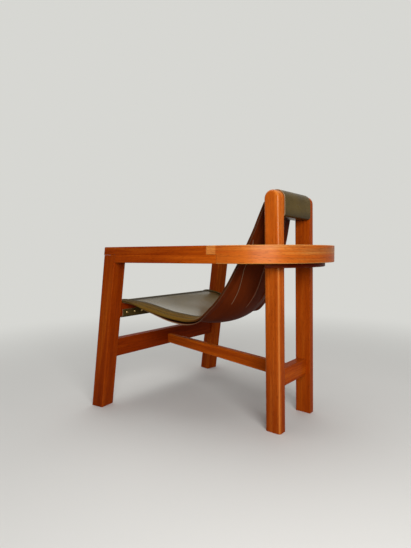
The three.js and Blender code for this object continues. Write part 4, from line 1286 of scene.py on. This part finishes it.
def plain_floor(look):
    finish = Finish("studio_floor")
    place, seen = finish.place(), finish.seen_rays()
    mottle = finish.cloud(place, 1.3, 4)
    body = finish.mix(mottle, shaded(look.floor, 0.97), look.floor)
    body = finish.mix(seen, look.bounce, body)
    material = finish.surface(body, 0.75 + mottle * 0.1, Specular_IOR_Level=0.2)
    far = finish.smooth_step(finish.maths("SQRT", finish.dot(place, place)), *look.floor_fade)
    glow = finish.node("ShaderNodeEmission", None, {"Color": look.backdrop})
    shader = Wire(finish, finish.shader.outputs[0])
    faded = finish.node("ShaderNodeMixShader", None, {0: far * seen, 1: shader, 2: glow})
    finish.feed(finish.tree.nodes["Material Output"].inputs["Surface"], faded)
    return material


class CHAIR_OT_stage(bpy.types.Operator):
    """Set the floor, the soft lights, the backdrop and the camera"""

    bl_idname = "chair.stage"
    bl_label = "Stage"
    FLOOR_REACH = 30
    AIM = Vector((0, 0, 0.4))

    def execute(self, context):
        look = context.scene.chair_studio
        self.make_floor(look)
        self.make_world(look)
        for kind in ("key", "fill"):
            place, power, size = (getattr(look, f"{kind}_{part}") for part in ("place", "power", "size"))
            self.make_light(f"{kind}_light", place, power, size)
        self.make_camera(look)
        context.scene.view_settings.view_transform = "Standard"
        return {"FINISHED"}

    def make_floor(self, look):
        mesh = bpy.data.meshes.new("studio_floor")
        reach = self.FLOOR_REACH
        corners = [(-reach, -reach, 0), (reach, -reach, 0), (reach, reach, 0), (-reach, reach, 0)]
        mesh.from_pydata(corners, [], [(0, 1, 2, 3)])
        mesh.materials.append(plain_floor(look))
        floor = placed("studio_floor", mesh)

    def make_world(self, look):
        world = bpy.data.worlds.new("studio")
        world.use_nodes = True
        nodes = Nodes(world.node_tree)
        nodes.tree.nodes.clear()
        around = nodes.node("ShaderNodeBackground", None, {"Color": (1, 1, 1), "Strength": look.ambient})
        behind = nodes.node("ShaderNodeBackground", None, {"Color": look.backdrop})
        mixed = nodes.node("ShaderNodeMixShader", None, {0: nodes.seen_rays(), 1: around, 2: behind})
        nodes.node("ShaderNodeOutputWorld", None, {"Surface": mixed})
        bpy.context.scene.world = world

    def make_light(self, name, place, power, size):
        data = bpy.data.lights.new(name, "AREA")
        data.energy = power
        data.shape = "RECTANGLE"
        data.size, data.size_y = size
        lamp = placed(name, data)
        lamp.location = place
        lamp.visible_camera = False
        lamp.rotation_euler = (self.AIM - Vector(place)).to_track_quat("-Z", "Y").to_euler()

    def make_camera(self, look):
        data = bpy.data.cameras.new("view")
        data.lens = look.lens
        camera = placed("view", data)
        turn = Vector(look.camera_ahead).to_track_quat("-Z", "Y").to_matrix()
        roll = Matrix.Rotation(look.camera_roll, 3, "Z")
        camera.matrix_world = Matrix.Translation(look.camera_place) @ (turn @ roll).to_4x4()
        bpy.context.scene.camera = camera


OPERATORS = (
    CHAIR_OT_stage,
    CHAIR_OT_frame_timber,
    CHAIR_OT_sling_face,
    CHAIR_OT_sling_lining,
    CHAIR_OT_sling_hems,
    CHAIR_OT_sling_darts,
    CHAIR_OT_sling_sheets,
    CHAIR_OT_nails,
    CHAIR_OT_hidden_fixings,
)


class CHAIR_PT_panel(bpy.types.Panel):
    """Sizes, finishes and steps of the sling chair"""

    bl_idname = "CHAIR_PT_panel"
    bl_label = "Sling Chair"
    bl_space_type = "VIEW_3D"
    bl_region_type = "UI"
    bl_category = "Chair"

    def draw(self, context):
        for operator in OPERATORS:
            self.layout.operator(operator.bl_idname)
        for name, group in PROPERTY_GROUPS.items():
            box = self.layout.box()
            box.label(text=group.__doc__)
            for key in group.__annotations__:
                box.prop(getattr(context.scene, name), key)


CLASSES = (*PROPERTY_GROUPS.values(), *OPERATORS, CHAIR_PT_panel)


def register():
    for cls in CLASSES:
        bpy.utils.register_class(cls)
    for name, group in PROPERTY_GROUPS.items():
        setattr(bpy.types.Scene, name, PointerProperty(type=group))


def unregister():
    for name in PROPERTY_GROUPS:
        delattr(bpy.types.Scene, name)
    for cls in reversed(CLASSES):
        bpy.utils.unregister_class(cls)


def main():
    register()
    for operator in OPERATORS:
        group, name = operator.bl_idname.split(".")
        getattr(getattr(bpy.ops, group), name)()


if __name__ == "__main__":
    main()
